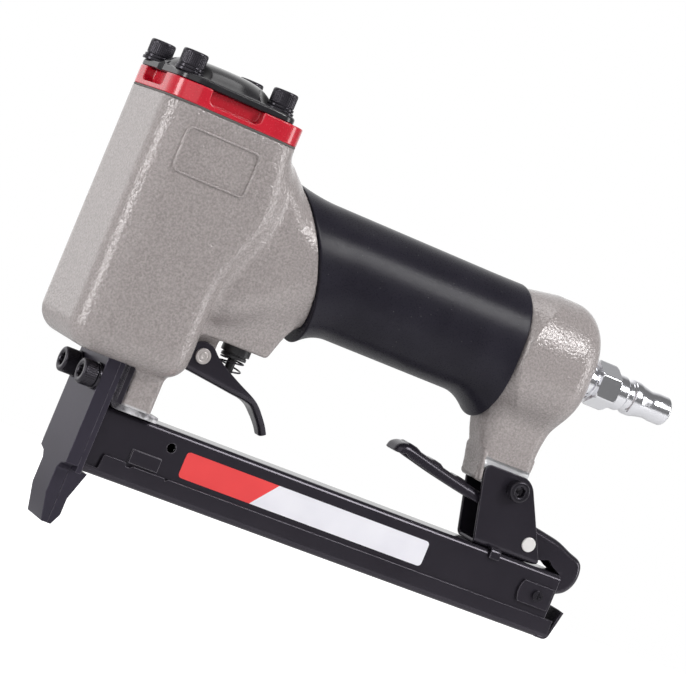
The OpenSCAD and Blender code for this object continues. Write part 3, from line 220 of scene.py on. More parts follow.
# a wire of round section along r (cos a, sin a) with rise h(a);
# the end turns lie close, the rest share the length
def coilGrid(radius, wire, turns, length, origin, axis):
    f = coilForm
    axis, side, third = crossAxes(axis, xAxis, zAxis)
    turn = np.linspace(0, turns, int(turns * f["perTurn"]) + 1)
    close = f["close"] * wire
    free = (length - 2 * wire - 2 * f["ends"] * close) / (turns - 2 * f["ends"])
    opening = easeStep((turn - f["flat"]) / f["ease"]) * easeStep((turns - f["flat"] - turn) / f["ease"])
    pitch = close + (free - close) * opening
    rise = np.concatenate([[0], np.cumsum((pitch[1:] + pitch[:-1]) / 2 * np.diff(turn))])
    rise = wire + rise * (length - 2 * wire) / rise[-1]
    a = turn * tau
    out = np.cos(a)[:, None] * side + np.sin(a)[:, None] * third
    middle = np.asarray(origin, float) + radius * out + rise[:, None] * axis
    tangent = np.gradient(middle, axis=0)
    tangent /= np.linalg.norm(tangent, axis=1)[:, None]
    over = np.cross(tangent, out)
    b = (np.arange(f["sides"]) / f["sides"] * tau)[None, :, None]
    grid = middle[:, None] + wire * (np.cos(b) * out[:, None] + np.sin(b) * over[:, None])
    ends = middle[[0, -1], None].repeat(f["sides"], 1)
    return np.concatenate([ends[:1], grid, ends[1:]])


# copy of a node with its doubles merged, flat faces joined and its edges rounded by a bevel
def softenedCopy(name, node, finish, width, segments, angle=32, slot=None):
    form = bmesh.new()
    form.from_mesh(nodes[node].data)
    bmesh.ops.remove_doubles(form, verts=form.verts, dist=3e-6)
    bmesh.ops.dissolve_limit(form, angle_limit=math.radians(0.6), verts=form.verts, edges=form.edges)
    form.verts.index_update()
    points = np.array([v.co for v in form.verts]) / mm
    faces = [[v.index for v in f.verts] for f in form.faces]
    form.free()
    piece = makePiece(name, points, faces)
    bevel = piece.modifiers.new("edges", "BEVEL")
    bevel.width = width * mm
    bevel.segments = segments
    bevel.limit_method = "ANGLE"
    bevel.angle_limit = math.radians(angle)
    bevel.miter_outer = "MITER_ARC"
    return dress(weighNormals(piece), finish, [node], slot)


# bent sheet about its middle grid: faces stand off by half the thickness along the normal,
# an elliptic rim closes the border
def makeSheet(name, middle, half, rim, finish="blackSheet", stands=(), body="frame_body"):
    rows, columns = middle.shape[:2]
    along, across = np.gradient(middle, axis=0), np.gradient(middle, axis=1)
    normal = np.cross(along, across)
    normal /= np.linalg.norm(normal, axis=-1, keepdims=True)
    half = np.broadcast_to(np.asarray(half, float).reshape(-1, 1, 1), (rows, columns, 1))
    count = np.arange(rows * columns).reshape(rows, columns)
    border = np.concatenate([count[0, :-1], count[:-1, -1], count[-1, :0:-1], count[:0:-1, 0]])
    at, up, thick = (a.reshape(rows * columns, -1)[border] for a in (middle, normal, half))
    out = np.cross(np.roll(at, -1, 0) - np.roll(at, 1, 0), up)
    out /= np.linalg.norm(out, axis=1)[:, None]
    out *= -np.sign(out[columns // 2] @ along[0, columns // 2])
    turn = np.linspace(0, np.pi, 13)[:, None, None]
    edge = at + rim * np.sin(turn) * out + thick * np.cos(turn) * up
    face = gridFaces(rows, columns, wrapColumns=False)
    rimFaces = gridFaces(len(edge), len(border), first=2 * rows * columns)
    faces = np.concatenate([face, face[:, ::-1] + rows * columns, rimFaces])
    points = [g.reshape(-1, 3) for g in (middle + half * normal, middle - half * normal, edge)]
    piece = closeSeams(makePiece(name, np.concatenate(points), faces))
    return dress(weighNormals(piece, 50), finish, stands, body=body)


# a line in X and Z carried across Y, one row for each of its points
def carryAcross(line, across):
    across = np.broadcast_to(across, (len(line), np.shape(across)[-1]))
    x, z = (np.repeat(line[:, k:k + 1], across.shape[1], 1) for k in (0, 1))
    return np.stack([x, across, z], -1)


# finishes

# a plain value is set on a socket, an output is linked to it
def feed(tree, socket, value):
    if isinstance(value, bpy.types.NodeSocket):
        tree.links.new(value, socket)
    else:
        socket.default_value = (*value, 1) if socket.type == "RGBA" else value


# adds a shader node, sets its fields and feeds its inputs
def addNode(tree, kind, inputs=None, **fields):
    node = tree.nodes.new("ShaderNode" + kind)
    for key, value in fields.items():
        setattr(node, key, value)
    for key, value in (inputs or {}).items():
        feed(tree, node.inputs[key], value)
    return node


# one step of arithmetic on two values
def addMath(tree, operation, a, b, **fields):
    return addNode(tree, "Math", {0: a, 1: b}, operation=operation, **fields).outputs["Value"]


# spreads a 0 to 1 value between two numbers
def spread(tree, value, low, high, fromLow=0.3, fromHigh=0.7):
    ends = {"From Min": fromLow, "From Max": fromHigh, "To Min": low, "To Max": high}
    return addNode(tree, "MapRange", {"Value": value, **ends}).outputs["Result"]


# mixes two colours by a mask
def mixColour(tree, mask, a, b):
    node = addNode(tree, "Mix", {"Factor": mask}, data_type="RGBA")
    for socket, value in zip([s for s in node.inputs if s.type == "RGBA"], (a, b)):
        feed(tree, socket, value)
    return [s for s in node.outputs if s.type == "RGBA"][0]


# a shader group with float inputs and the outputs asked for, and the object's own coordinates in it
def newGroup(name, inputs, outputs):
    group = bpy.data.node_groups.new(name, "ShaderNodeTree")
    for key, value in inputs.items():
        socket = group.interface.new_socket(key, in_out="INPUT", socket_type="NodeSocketFloat")
        socket.default_value = value
    for key in outputs:
        group.interface.new_socket(key, in_out="OUTPUT", socket_type="NodeSocketFloat")
    given, out = group.nodes.new("NodeGroupInput"), group.nodes.new("NodeGroupOutput")
    return group, given.outputs, out.inputs, addNode(group, "TexCoord").outputs["Object"]


# fine grain: noise at one grain size and a broader cloud, both 0 to 1
def grainGroup():
    group, given, out, spot = newGroup("surfaceGrain", {"Grain": 900.0, "Cloud": 60.0}, ["Fine", "Broad"])
    for key, size, detail, rough in (("Fine", "Grain", 3.0, 0.6), ("Broad", "Cloud", 2.0, 0.5)):
        inputs = {"Vector": spot, "Scale": given[size], "Detail": detail, "Roughness": rough}
        feed(group, out[key], addNode(group, "TexNoise", inputs).outputs["Fac"])
    return group


# worn edges with a painted highlight: how far a rounded normal leans from the true one, broken up by noise; the
# lighter edge stands partly for wear and partly for light caught on edges and bends
def sheenWearGroup():
    group, given, out, spot = newGroup("edgeWearPaintedSheen", {"Width": 0.0004, "Amount": 1.0}, ["Mask"])
    plain = addNode(group, "NewGeometry").outputs["Normal"]
    soft = addNode(group, "Bevel", {"Radius": given["Width"]}, samples=6).outputs["Normal"]
    lean = addNode(group, "VectorMath", {0: soft, 1: plain}, operation="DOT_PRODUCT").outputs["Value"]
    rub = addNode(group, "TexNoise", {"Vector": spot, "Scale": 420.0, "Detail": 4.0}).outputs["Fac"]
    edge, patch = spread(group, lean, 0, 1, 0.99, 0.86), spread(group, rub, 0, 1, 0.28, 0.5)
    both = addMath(group, "MULTIPLY", edge, patch)
    feed(group, out["Mask"], addMath(group, "MULTIPLY", both, given["Amount"], use_clamp=True))
    return group


# scattered specks: the middle of each cell of a Voronoi pattern, thinned out by the cell's own value
def speckGroup():
    inputs = {"Spacing": 500.0, "Size": 0.14, "Share": 0.3}
    group, given, out, spot = newGroup("dustSpecks", inputs, ["Mask"])
    cells = addNode(group, "TexVoronoi", {"Vector": spot, "Scale": given["Spacing"], "Randomness": 1.0})
    value = addNode(group, "SeparateColor", {"Color": cells.outputs["Color"]}).outputs["Red"]
    dot = addMath(group, "LESS_THAN", cells.outputs["Distance"], given["Size"])
    some = addMath(group, "LESS_THAN", value, given["Share"])
    feed(group, out["Mask"], addMath(group, "MULTIPLY", dot, some))
    return group


groups = {"grain": grainGroup(), "wearAndSheen": sheenWearGroup(), "specks": speckGroup()}


# outputs of a group placed in a material with its own values
def placeGroup(tree, key, **values):
    node = addNode(tree, "Group", node_tree=groups[key])
    for name, value in values.items():
        node.inputs[name].default_value = value
    return node.outputs


# an empty material with its Principled shader's inputs, and plain values set on them
def newFinish(name, colour, roughness, metallic=0.0, plain=None):
    finish = bpy.data.materials.new(name)
    finish.use_nodes = True
    tree = finish.node_tree
    shader = tree.nodes["Principled BSDF"].inputs
    values = {"Base Color": colour, "Roughness": roughness, "Metallic": metallic, **(plain or {})}
    for key, value in values.items():
        feed(tree, shader[key], value)
    finish.diffuse_color = (*colour, 1)
    return finish, tree, shader


# bump of a height in mm, over the normal of another bump if one is given
def addBump(tree, height, depth, strength=1.0, under=None):
    inputs = {"Strength": strength, "Distance": depth * mm, "Height": height}
    if under:
        inputs["Normal"] = under
    return addNode(tree, "Bump", inputs).outputs["Normal"]


plainLook = {"metallic": 0.0, "cloud": 45.0, "swing": 0.06, "sheenWearWidth": 0.35, "strength": 0.6, "plain": {}}


# metal, coated sheet, rubber or paint: two shades by the cloud, roughness by the grain, a low bump;
# bare places, worn edges that are partly a painted highlight, and dust lie over that where the look names them
def sheetFinish(name, look):
    look = {**plainLook, **look}
    finish, tree, shader = newFinish(name, look["colour"], look["roughness"], look["metallic"], look["plain"])
    grain = placeGroup(tree, "grain", Grain=look["grain"], Cloud=look["cloud"])
    base = mixColour(tree, spread(tree, grain["Broad"], 0, 1), look["colour"], look["second"])
    if "bare" in look:
        mask = addNode(tree, "Attribute", attribute_name="bare").outputs["Fac"]
        mask = addMath(tree, "MULTIPLY", mask, spread(tree, grain["Broad"], 0.25, 1, 0.35, 0.55))
        base = mixColour(tree, mask, base, look["bare"])
    # lighter edges: partly wear, partly a painted highlight along edges and bends
    if "wornAndHighlit" in look:
        mask = placeGroup(tree, "wearAndSheen", Width=look["sheenWearWidth"] * mm, Amount=look["wearAndSheen"])["Mask"]
        base = mixColour(tree, mask, base, look["wornAndHighlit"])
    if "dust" in look:
        base = mixColour(tree, placeGroup(tree, "specks", **look["specks"])["Mask"], base, look["dust"])
    feed(tree, shader["Base Color"], base)
    low, high = look["roughness"] - look["swing"], look["roughness"] + look["swing"]
    feed(tree, shader["Roughness"], spread(tree, grain["Fine"], low, high))
    height = grain["Broad" if "peel" in look else "Fine"]
    feed(tree, shader["Normal"], addBump(tree, height, look.get("peel", look.get("bump")), look["strength"]))
    return finish


lacquerLook = {
    "colour": (0.345, 0.311, 0.305), "light": (0.412, 0.371, 0.363), "dark": (0.274, 0.247, 0.242),
    "roughness": 0.11, "swing": (-0.05, 0.08), "metallic": 0.07, "flake": 1350.0, "cloud": 240.0,
    "ripple": 1000.0, "wide": 120.0, "flakeStrength": 0.3, "flakeDepth": 0.04, "rippleDepth": 0.27,
    "milled": (0.9, 0.9, 0.91), "milledDark": (0.72, 0.72, 0.74), "milledMetal": 0.3,
}


# hammertone lacquer: flakes of two greys over a coarse orange-peel bump;
# bare aluminium where the casting was milled
def lacquerFinish(look):
    finish, tree, shader = newFinish("hammertoneLacquer", look["colour"], look["roughness"], look["metallic"])
    grain = placeGroup(tree, "grain", Grain=look["flake"], Cloud=look["cloud"])
    ripple = placeGroup(tree, "grain", Grain=look["wide"], Cloud=look["ripple"])
    flakes = mixColour(tree, spread(tree, grain["Fine"], 0, 1, 0.36, 0.64), look["dark"], look["light"])
    base = mixColour(tree, spread(tree, grain["Broad"], 0, 0.35), flakes, look["colour"])
    milled = addNode(tree, "Attribute", attribute_name="milled").outputs["Fac"]
    bare = mixColour(tree, spread(tree, ripple["Fine"], 0, 1), look["milled"], look["milledDark"])
    feed(tree, shader["Base Color"], mixColour(tree, milled, base, bare))
    feed(tree, shader["Metallic"], spread(tree, milled, look["metallic"], look["milledMetal"], 0, 1))
    low, high = (look["roughness"] + s for s in look["swing"])
    feed(tree, shader["Roughness"], spread(tree, grain["Fine"], low, high))
    small = addBump(tree, grain["Fine"], look["flakeDepth"], look["flakeStrength"])
    feed(tree, shader["Normal"], addBump(tree, ripple["Broad"], look["rippleDepth"], 1.0, small))
    return finish


violet = {"Specular Tint": (0.94, 0.88, 1.0)}
looks = {
    "rubber": {
        "colour": (0.0145, 0.0132, 0.0198), "second": (0.0195, 0.018, 0.026), "roughness": 0.3,
        "plain": {"Specular IOR Level": 0.14}, "grain": 2200.0, "cloud": 90.0, "bump": 0.03, "strength": 0.5,
        "dust": (0.09, 0.09, 0.095), "specks": {"Spacing": 620.0, "Size": 0.1, "Share": 0.16},
    },
    "capRed": {
        "colour": (0.52, 0.005, 0.021), "second": (0.59, 0.007, 0.026), "roughness": 0.25, "swing": 0.04,
        "plain": {"Coat Roughness": 0.04, "Coat Weight": 0.6}, "grain": 1800.0, "cloud": 160.0,
        "peel": 0.03, "strength": 0.35,
    },
    "deflectorBlack": {
        "colour": (0.012, 0.0115, 0.014), "second": (0.02, 0.019, 0.022), "roughness": 0.2, "swing": 0.04,
        "plain": {"Coat Roughness": 0.04, "Coat Weight": 0.0}, "grain": 2200.0, "cloud": 210.0,
        "peel": 0.012, "strength": 0.35,
    },
    # the worn colours of the sheets, tool steel and screws below are partly wear and partly a painted edge
    # highlight
    "blackSheet": {
        "colour": (0.0152, 0.0132, 0.0182), "second": (0.02, 0.0176, 0.0236), "roughness": 0.2, "plain": violet,
        "wornAndHighlit": (0.4, 0.38, 0.42), "wearAndSheen": 0.55, "sheenWearWidth": 0.45, "grain": 2600.0, "swing": 0.02,
        "bump": 0.0012,
    },
    # strongly worn sheet: bare rims, and lighter edges that are partly a painted highlight
    "highlitWornSheet": {
        "colour": (0.0125, 0.0115, 0.015), "second": (0.02, 0.0185, 0.023), "roughness": 0.27, "plain": violet,
        "wornAndHighlit": (0.5, 0.49, 0.5), "wearAndSheen": 1.0, "sheenWearWidth": 0.6, "bare": (0.72, 0.71, 0.73), "cloud": 420.0,
        "grain": 2600.0, "swing": 0.03, "bump": 0.002,
    },
    "toolSteel": {
        "colour": (0.044, 0.038, 0.057), "second": (0.037, 0.033, 0.049), "roughness": 0.32, "metallic": 0.55,
        "wornAndHighlit": (0.34, 0.32, 0.37), "wearAndSheen": 0.6, "grain": 2400.0, "swing": 0.03, "bump": 0.002,
    },
    "blackOxide": {
        "colour": (0.009, 0.0083, 0.011), "second": (0.014, 0.013, 0.0165), "roughness": 0.24, "plain": violet,
        "metallic": 0.1, "wornAndHighlit": (0.2, 0.19, 0.21), "wearAndSheen": 0.15, "sheenWearWidth": 0.2, "grain": 3000.0,
        "swing": 0.03, "bump": 0.002,
    },
    "chrome": {
        "colour": (0.84, 0.84, 0.87), "second": (0.78, 0.78, 0.82), "roughness": 0.16, "metallic": 1.0,
        "swing": 0.04, "grain": 3200.0, "bump": 0.003,
    },
}
# the pressed levers take the black sheet without its worn edges and their painted highlight
looks["pressedSheet"] = {key: value for key, value in looks["blackSheet"].items() if key != "wornAndHighlit"}
# plain finishes: two shades, roughness, metallic, grain and bump
for key, *values in (
    ("spring", (0.34, 0.34, 0.35), (0.26, 0.26, 0.27), 0.3, 0.9, 2600.0, 0.004),
    ("bright", (0.72, 0.71, 0.7), (0.6, 0.59, 0.58), 0.3, 0.85, 2800.0, 0.005),
    ("nickel", (0.84, 0.82, 0.81), (0.74, 0.72, 0.71), 0.42, 0.3, 2400.0, 0.004),
    ("dullNickel", (0.52, 0.48, 0.47), (0.42, 0.39, 0.38), 0.36, 0.4, 2400.0, 0.006),
    ("seal", (0.012, 0.012, 0.013), (0.02, 0.02, 0.021), 0.5, 0.0, 2400.0, 0.01),
    ("gasket", (0.1, 0.095, 0.09), (0.13, 0.12, 0.115), 0.7, 0.0, 2000.0, 0.02),
    ("aluminium", (0.62, 0.62, 0.63), (0.54, 0.54, 0.55), 0.34, 0.95, 2400.0, 0.006),
    ("plastic", (0.66, 0.65, 0.62), (0.6, 0.59, 0.56), 0.45, 0.0, 2000.0, 0.008),
    ("tape", (0.8, 0.8, 0.79), (0.7, 0.7, 0.7), 0.6, 0.0, 1800.0, 0.03),
    ("darkPlastic", (0.018, 0.0175, 0.02), (0.026, 0.025, 0.028), 0.4, 0.0, 2200.0, 0.01),
):
    looks[key] = dict(zip(("colour", "second", "roughness", "metallic", "grain", "bump"), values))

stapleLook = {
    "colour": (0.62, 0.62, 0.63), "roughness": 0.3, "metallic": 0.9, "bands": 262.0, "line": (0.2, 0.2, 0.21),
    "wire": (0.66, 0.66, 0.68), "swing": (0.24, 0.38), "bump": 0.12,
}


# staple strip: each wire of the strip is one wave along X, sharp glue lines between
def stapleFinish(look):
    finish, tree, shader = newFinish("stapleWire", look["colour"], look["roughness"], look["metallic"])
    spot = addNode(tree, "TexCoord").outputs["Object"]
    inputs = {"Vector": spot, "Scale": look["bands"], "Distortion": 0.0}
    wave = addNode(tree, "TexWave", inputs, bands_direction="X").outputs["Fac"]
    grain = placeGroup(tree, "grain", Grain=2500.0, Cloud=80.0)
    line = spread(tree, wave, 0, 1, 0.05, 0.5)
    feed(tree, shader["Base Color"], mixColour(tree, line, look["line"], look["wire"]))
    feed(tree, shader["Roughness"], spread(tree, grain["Fine"], *look["swing"]))
    feed(tree, shader["Normal"], addBump(tree, wave, look["bump"]))
    return finish


labelForm = {
    "front": 36.4, "rear": 132.1, "low": 28.5, "high": 37.5, "corner": 1.6, "face": -8.2, "thick": 0.14,
    "split": 39.0, "lean": 0.87, "plain": (0.8, 0.8, 0.82), "roughness": 0.35, "swing": (0.28, 0.42),
    "bump": 0.004,
    "red": ((0.84, 0.062, 0.064), (0.78, 0.054, 0.058)), "white": ((0.86, 0.85, 0.9), (0.79, 0.78, 0.84)),
}


# plate stuck on the magazine: red up to a slanted line x - lean z, white beyond it, both satin
def plateFinish(form):
    finish, tree, shader = newFinish("ratingPlate", form["plain"], form["roughness"])
    spot = addNode(tree, "TexCoord").outputs["Object"]
    parts = addNode(tree, "SeparateXYZ", {"Vector": spot}).outputs
    along = addMath(tree, "SUBTRACT", parts["X"], addMath(tree, "MULTIPLY", parts["Z"], form["lean"]))
    front = addMath(tree, "LESS_THAN", along, form["split"] * mm)
    grain = placeGroup(tree, "grain", Grain=1600.0, Cloud=70.0)
    white, red = (mixColour(tree, spread(tree, grain["Broad"], 0, 1), *form[key]) for key in ("white", "red"))
    feed(tree, shader["Base Color"], mixColour(tree, front, white, red))
    feed(tree, shader["Roughness"], spread(tree, grain["Fine"], *form["swing"]))
    feed(tree, shader["Normal"], addBump(tree, grain["Fine"], form["bump"]))
    return finish


finishes = {
    "hammertone": lacquerFinish(lacquerLook),
    "staples": stapleFinish(stapleLook),
    "label": plateFinish(labelForm),
}
finishNames = {"rubber": "gripRubber", "capRed": "capRedPaint", "deflectorBlack": "deflectorBlackPaint"}
for key, look in looks.items():
    finishes[key] = sheetFinish(finishNames.get(key, key + "Finish"), look)
print("finishes made:", len(finishes))

# every node keeps a finish of its own, also those that a finer piece stands for
nodeFinish = {
    "hammertone": ["body_casting"],
    "rubber": ["handle_grip"],
    "capRed": ["cylinder_cap"],
    "deflectorBlack": ["exhaust_deflector"],
    "gasket": ["cap_gasket"],
    "blackSheet": ["fixed_magazine", "magazine_slider", "rear_bracket", "latch_lever", "rear_clips", "trigger",
                   "magazine_bracket", "slider_end_block"],
    "toolSteel": ["nose_front_plate", "nose_back_plate", "nose_spacer"],
    "blackOxide": ["cap_screws", "cap_flat_washers", "cap_spring_washers", "nose_screws", "nose_washers",
                   "rear_bolt", "rear_nut", "clip_screws"],
    "spring": ["head_valve_spring", "pusher_spring", "latch_spring", "valve_spring"],
    "bright": ["trigger_pin", "latch_rivet", "driver_blade", "driver_pin", "staple_rail", "staple_pusher",
               "pusher_rod"],
    "chrome": ["air_plug"],
    "seal": ["sleeve_orings", "piston_oring", "head_valve_oring", "valve_orings", "piston_bumper"],
    "aluminium": ["cylinder_sleeve", "piston"],
    "plastic": ["head_valve"],
    "darkPlastic": ["valve_body", "valve_stem"],
    "tape": ["plug_seal"],
    "staples": ["staple_strip"],
}
for key, names in nodeFinish.items():
    for name in names:
        for place in nodes[name].material_slots:
            place.material = finishes[key]


# cast body as one field of distances, negative inside

# smooth union: the lesser value less h^2 k / 4, with h the closeness of the two
def blendMin(a, b, k):
    h = np.maximum(k - np.abs(a - b), 0) / k
    return np.minimum(a, b) - h * h * k / 4


# smooth cut, the same with both signs turned
def blendMax(a, b, k):
    return -blendMin(-a, -b, k)


# distance to a rectangle with round corners
def plateField(u, v, halfU, halfV, corner):
    qu, qv = np.abs(u) - halfU + corner, np.abs(v) - halfV + corner
    return np.minimum(np.maximum(qu, qv), 0) + np.hypot(np.maximum(qu, 0), np.maximum(qv, 0)) - corner


# the same between two ends along u, about the middle of v
def spanField(u, low, high, v, halfV, corner):
    return plateField(u - (high + low) / 2, v, (high - low) / 2, halfV, corner)


# two faces meet over an edge of a given radius
def roundedMax(a, b, r):
    return np.minimum(np.maximum(a, b), -r) + np.hypot(np.maximum(a + r, 0), np.maximum(b + r, 0))


# distance to a round hole, kept to its ends
def boreField(u, v, r, *ends):
    return np.maximum(np.hypot(u, v) - r, np.maximum.reduce(ends))


castForm = {
    "cell": 0.86, "low": (-23.2, -25.2, 43.3), "high": (166.4, 25.2, 142.4), "newton": 3, "mostMove": 0.5,
    "headFront": -21.3, "headRear": 27.0, "headSwell": 30.3, "headHeel": 21.6, "swellRise": (86, 34),
    "swellFall": (121, 20), "headHalf": 23.5, "headCorner": 10.0, "headTop": 141.2, "topEdge": 0.4,
    "headFloor": 57.3, "floorRound": 8.0,
    "straight": 3.0, "coreR": 15.2, "coreEnds": (30, 150), "gripR": 18.4, "gripFront": 51.4, "gripRear": 130.9,
    "frontLow": 0.24, "frontHigh": 0.34, "frontEase": 10.0, "frontSlope": 0.895, "gripEdge": 0.5,
    "neckTop": ((20, 27, 33, 38.5, 46, 60), (141.2, 140.9, 137.2, 132.6, 130.5, 130.4)),
    "neckFrom": 18, "neckHalf": 19.2, "neckLow": 80.0, "gripLow": 87.6, "neckCorner": (8, 10.2),
    "neckBlend": 3.6, "neckStart": (2.0, 26.0, 8.0),
    "tailRear": 163.0, "tailR": 20.0, "tailStep": 2.5, "tailRun": (1.9, 12.8), "tailRound": (152.8, 9.4),
    "tailEdge": 0.8, "tailGap": 0.15, "cutEdge": 0.3,
}
houseForm = {
    "floor": 75, "tall": 14.6, "most": 1.2, "front": 16, "rear": (49.65, 4), "half": (9.7, 1.8),
    "corner": 2.4, "top": 100, "edge": 1.0, "blend": 7.0,
}
lugForm = {"radius": 4.1, "half": 5.1, "top": 80, "blend": 0.8}
castFootForm = {
    "middle": 11.95, "long": 5.65, "half": 13.7, "corner": 2.5, "top": 70, "floor": 44.5, "edge": 0.4,
    "blend": 2.6,
}
legForm = {
    "z": (71.5, 84.7, 96.0), "front": (139.4, 133.4, 134.2), "rear": (159.4, 160.3, 162.6),
    "half": (7.2, 9.0, 12.2), "corner": (3.0, 6.6, 7.2), "span": (70, 99), "top": 101, "edge": 0.4,
    "blend": 3.4,
}
tenonForm = {"front": 139.4, "rear": 159.4, "half": 5.55, "top": 76, "low": 60.2, "lean": 0.162}
ribForm = {
    "x": 139.2, "z": 72, "lean": 0.25, "thick": 0.7, "half": 7.2, "corner": 0.5, "top": 74, "low": 63.2,
    "edge": 0.5, "blend": 1.4,
}
# radius and ends of each hole; half sizes and top of the blade's slot
boreForm = {
    "chamber": (17.5, 64), "slot": (1.2, 6.9, 66), "air": (11.0, 147.6), "inlet": (6.5, 147),
    "valve": (5.1, 102.4, 60), "capScrew": (2.55, 124), "noseScrew": (2.55, 17), "pin": (2.75, 8),
    "bolt": (2.1, 8),
}
# bare metal: below these heights, behind the rib and in front of the housing
milledForm = {"leg": 71.6, "rib": 139.95, "foot": 44.7, "front": 30}


# front end of the grip: a gentle lean below the axis that grows steeper above it,
# x = c - a d - b (d + sqrt(d^2 + e^2)) / 2
def gripFrontX(z):
    f = castForm
    d = z - places["handleZ"]
    return f["gripFront"] - f["frontLow"] * d - f["frontHigh"] * (d + np.sqrt(d * d + f["frontEase"] ** 2)) / 2


# tail radius: a straight ramp behind the grip, short at the sides and long above and below,
# then an ellipse to the rear face
def tailRadius(x, steep):
    f = castForm
    run = f["tailRun"][0] + f["tailRun"][1] * steep
    ramp = f["tailStep"] * np.clip(1 - (x - f["gripRear"]) / run, 0, 1)
    u = np.clip((x - f["tailRound"][0]) / (f["tailRear"] - f["tailRound"][0]), 0, 1)
    return f["tailR"] - ramp - f["tailRound"][1] * (1 - np.sqrt(np.maximum(1 - u * u, 0)))


# head, neck, trigger housing, pin lug and front foot joined by smooth unions
def frontField(x, y, z):
    f = castForm
    swell, heel = f["headSwell"], f["headHeel"]
    rise, fall = (easeStep((z - f[key][0]) / f[key][1]) for key in ("swellRise", "swellFall"))
    rear = heel + (swell - heel) * rise - (swell - f["headRear"]) * fall
    head = spanField(x, f["headFront"], rear, y, f["headHalf"], f["headCorner"])
    head = roundedMax(head, f["headFloor"] - z, f["floorRound"])

    reach = gripFrontX(z)
    ease = easeStep((x - f["neckFrom"]) / np.maximum(reach - f["neckFrom"], 1))
    begin, run, deep = f["neckStart"]
    sunk = deep * (1 - easeStep((x - begin) / run))
    neckTop = np.interp(x, *f["neckTop"]) - sunk
    neckLow = mixed(f["neckLow"], f["gripLow"], ease) + sunk
    neckHalf = mixed(f["neckHalf"], f["gripR"], ease) - sunk
    corner = f["neckCorner"][0] + f["neckCorner"][1] * ease
    neck = plateField(y, z - (neckTop + neckLow) / 2, neckHalf, (neckTop - neckLow) / 2, corner)
    neck = np.maximum(neck, -x)

    h = houseForm
    rise = np.clip((z - h["floor"]) / h["tall"], 0, h["most"])
    rear, half = (h[key][0] + h[key][1] * rise for key in ("rear", "half"))
    house = spanField(x, h["front"], rear, y, half, h["corner"])
    house = roundedMax(np.maximum(house, z - h["top"]), h["floor"] - z, h["edge"])
    body = blendMin(blendMin(head, neck, f["neckBlend"]), house, h["blend"])
    body = blendMax(body, (x - reach) * f["frontSlope"], f["gripEdge"])

    g, (pinX, pinZ) = lugForm, places["triggerPin"]
    lug = np.maximum(np.hypot(x - pinX, np.minimum(z - pinZ, 0)) - g["radius"], np.abs(y) - g["half"])
    body = blendMin(body, np.maximum(lug, z - g["top"]), g["blend"])
    g = castFootForm
    foot = np.maximum(plateField(x - g["middle"], y, g["long"], g["half"], g["corner"]), z - g["top"])
    return blendMin(body, roundedMax(foot, g["floor"] - z, g["edge"]), g["blend"])


# tail, rear leg, its tenon in the bracket and the rib in front of that, joined by smooth unions
def rearField(x, y, z, tall):
    f, g = castForm, legForm
    tail = np.hypot(y, tall) - tailRadius(x, tall ** 2 / np.maximum(y ** 2 + tall ** 2, 1e-6))
    tail = blendMax(tail, x - f["tailRear"], f["tailEdge"])
    tail = blendMax(tail, f["gripRear"] + f["tailGap"] - x, f["gripEdge"])
    fit = lambda key: np.polyval(np.polyfit(g["z"], g[key], 2), np.clip(z, *g["span"]))
    leg = spanField(x, fit("front"), fit("rear"), y, fit("half"), fit("corner"))
    leg = roundedMax(np.maximum(leg, z - g["top"]), g["z"][0] - z, g["edge"])
    back = blendMin(tail, leg, g["blend"])
    t = tenonForm
    tenon = np.maximum(np.maximum(t["front"] - x, x - t["rear"]), np.abs(y) - t["half"])
    tenon = np.maximum(np.maximum(tenon, z - t["top"]), t["low"] + (t["rear"] - x) * t["lean"] - z)
    r = ribForm
    rib = plateField(x - r["x"] - (r["z"] - z) * r["lean"], y, r["thick"], r["half"], r["corner"])
    rib = roundedMax(np.maximum(rib, z - r["top"]), r["low"] - z, r["edge"])
    return blendMin(np.minimum(back, tenon), rib, r["blend"])


# both ends and the handle core in one, with a flat top, then bored by smooth cuts
def castingField(p):
    f, b = castForm, boreForm
    x, y, z = p[..., 0], p[..., 1], p[..., 2]
    side, up = np.abs(y), z - places["handleZ"]
    tall = np.maximum(np.abs(up) - f["straight"], 0)
    core = np.maximum(np.hypot(y, tall) - f["coreR"], np.maximum(f["coreEnds"][0] - x, x - f["coreEnds"][1]))
    form = np.minimum(np.minimum(frontField(x, y, z), rearField(x, y, z, tall)), core)
    form = blendMax(form, z - f["headTop"], f["topEdge"])
    (capX, capY), (noseY, noseZ) = places["capScrew"], places["noseScrew"]
    (pinX, pinZ), (boltX, boltZ) = places["triggerPin"], places["rearBolt"]
    halfX, halfY, slotTop = b["slot"]
    cuts = [
        boreField(x, y, b["chamber"][0], b["chamber"][1] - z),
        np.maximum(np.maximum(np.abs(x) - halfX, side - halfY), z - slotTop),
        boreField(y, up, b["air"][0], -x, x - b["air"][1]),
        boreField(y, up, b["inlet"][0], b["inlet"][1] - x),
        boreField(x - places["valveX"], y, b["valve"][0], z - b["valve"][1], b["valve"][2] - z),
        boreField(np.abs(x) - capX, side - capY, b["capScrew"][0], b["capScrew"][1] - z),
        boreField(side - noseY, z - noseZ, b["noseScrew"][0], x - b["noseScrew"][1]),
        boreField(x - pinX, z - pinZ, b["pin"][0], side - b["pin"][1]),
        boreField(x - boltX, z - boltZ, b["bolt"][0], side - b["bolt"][1]),
    ]
    for cut in cuts:
        form = blendMax(form, -cut, f["cutEdge"])
    return form


# slope of a field by central differences
def fieldSlope(field, p, step=0.04):
    h = np.eye(3) * step
    return np.stack([field(p + h[i]) - field(p - h[i]) for i in range(3)], -1) / (2 * step)


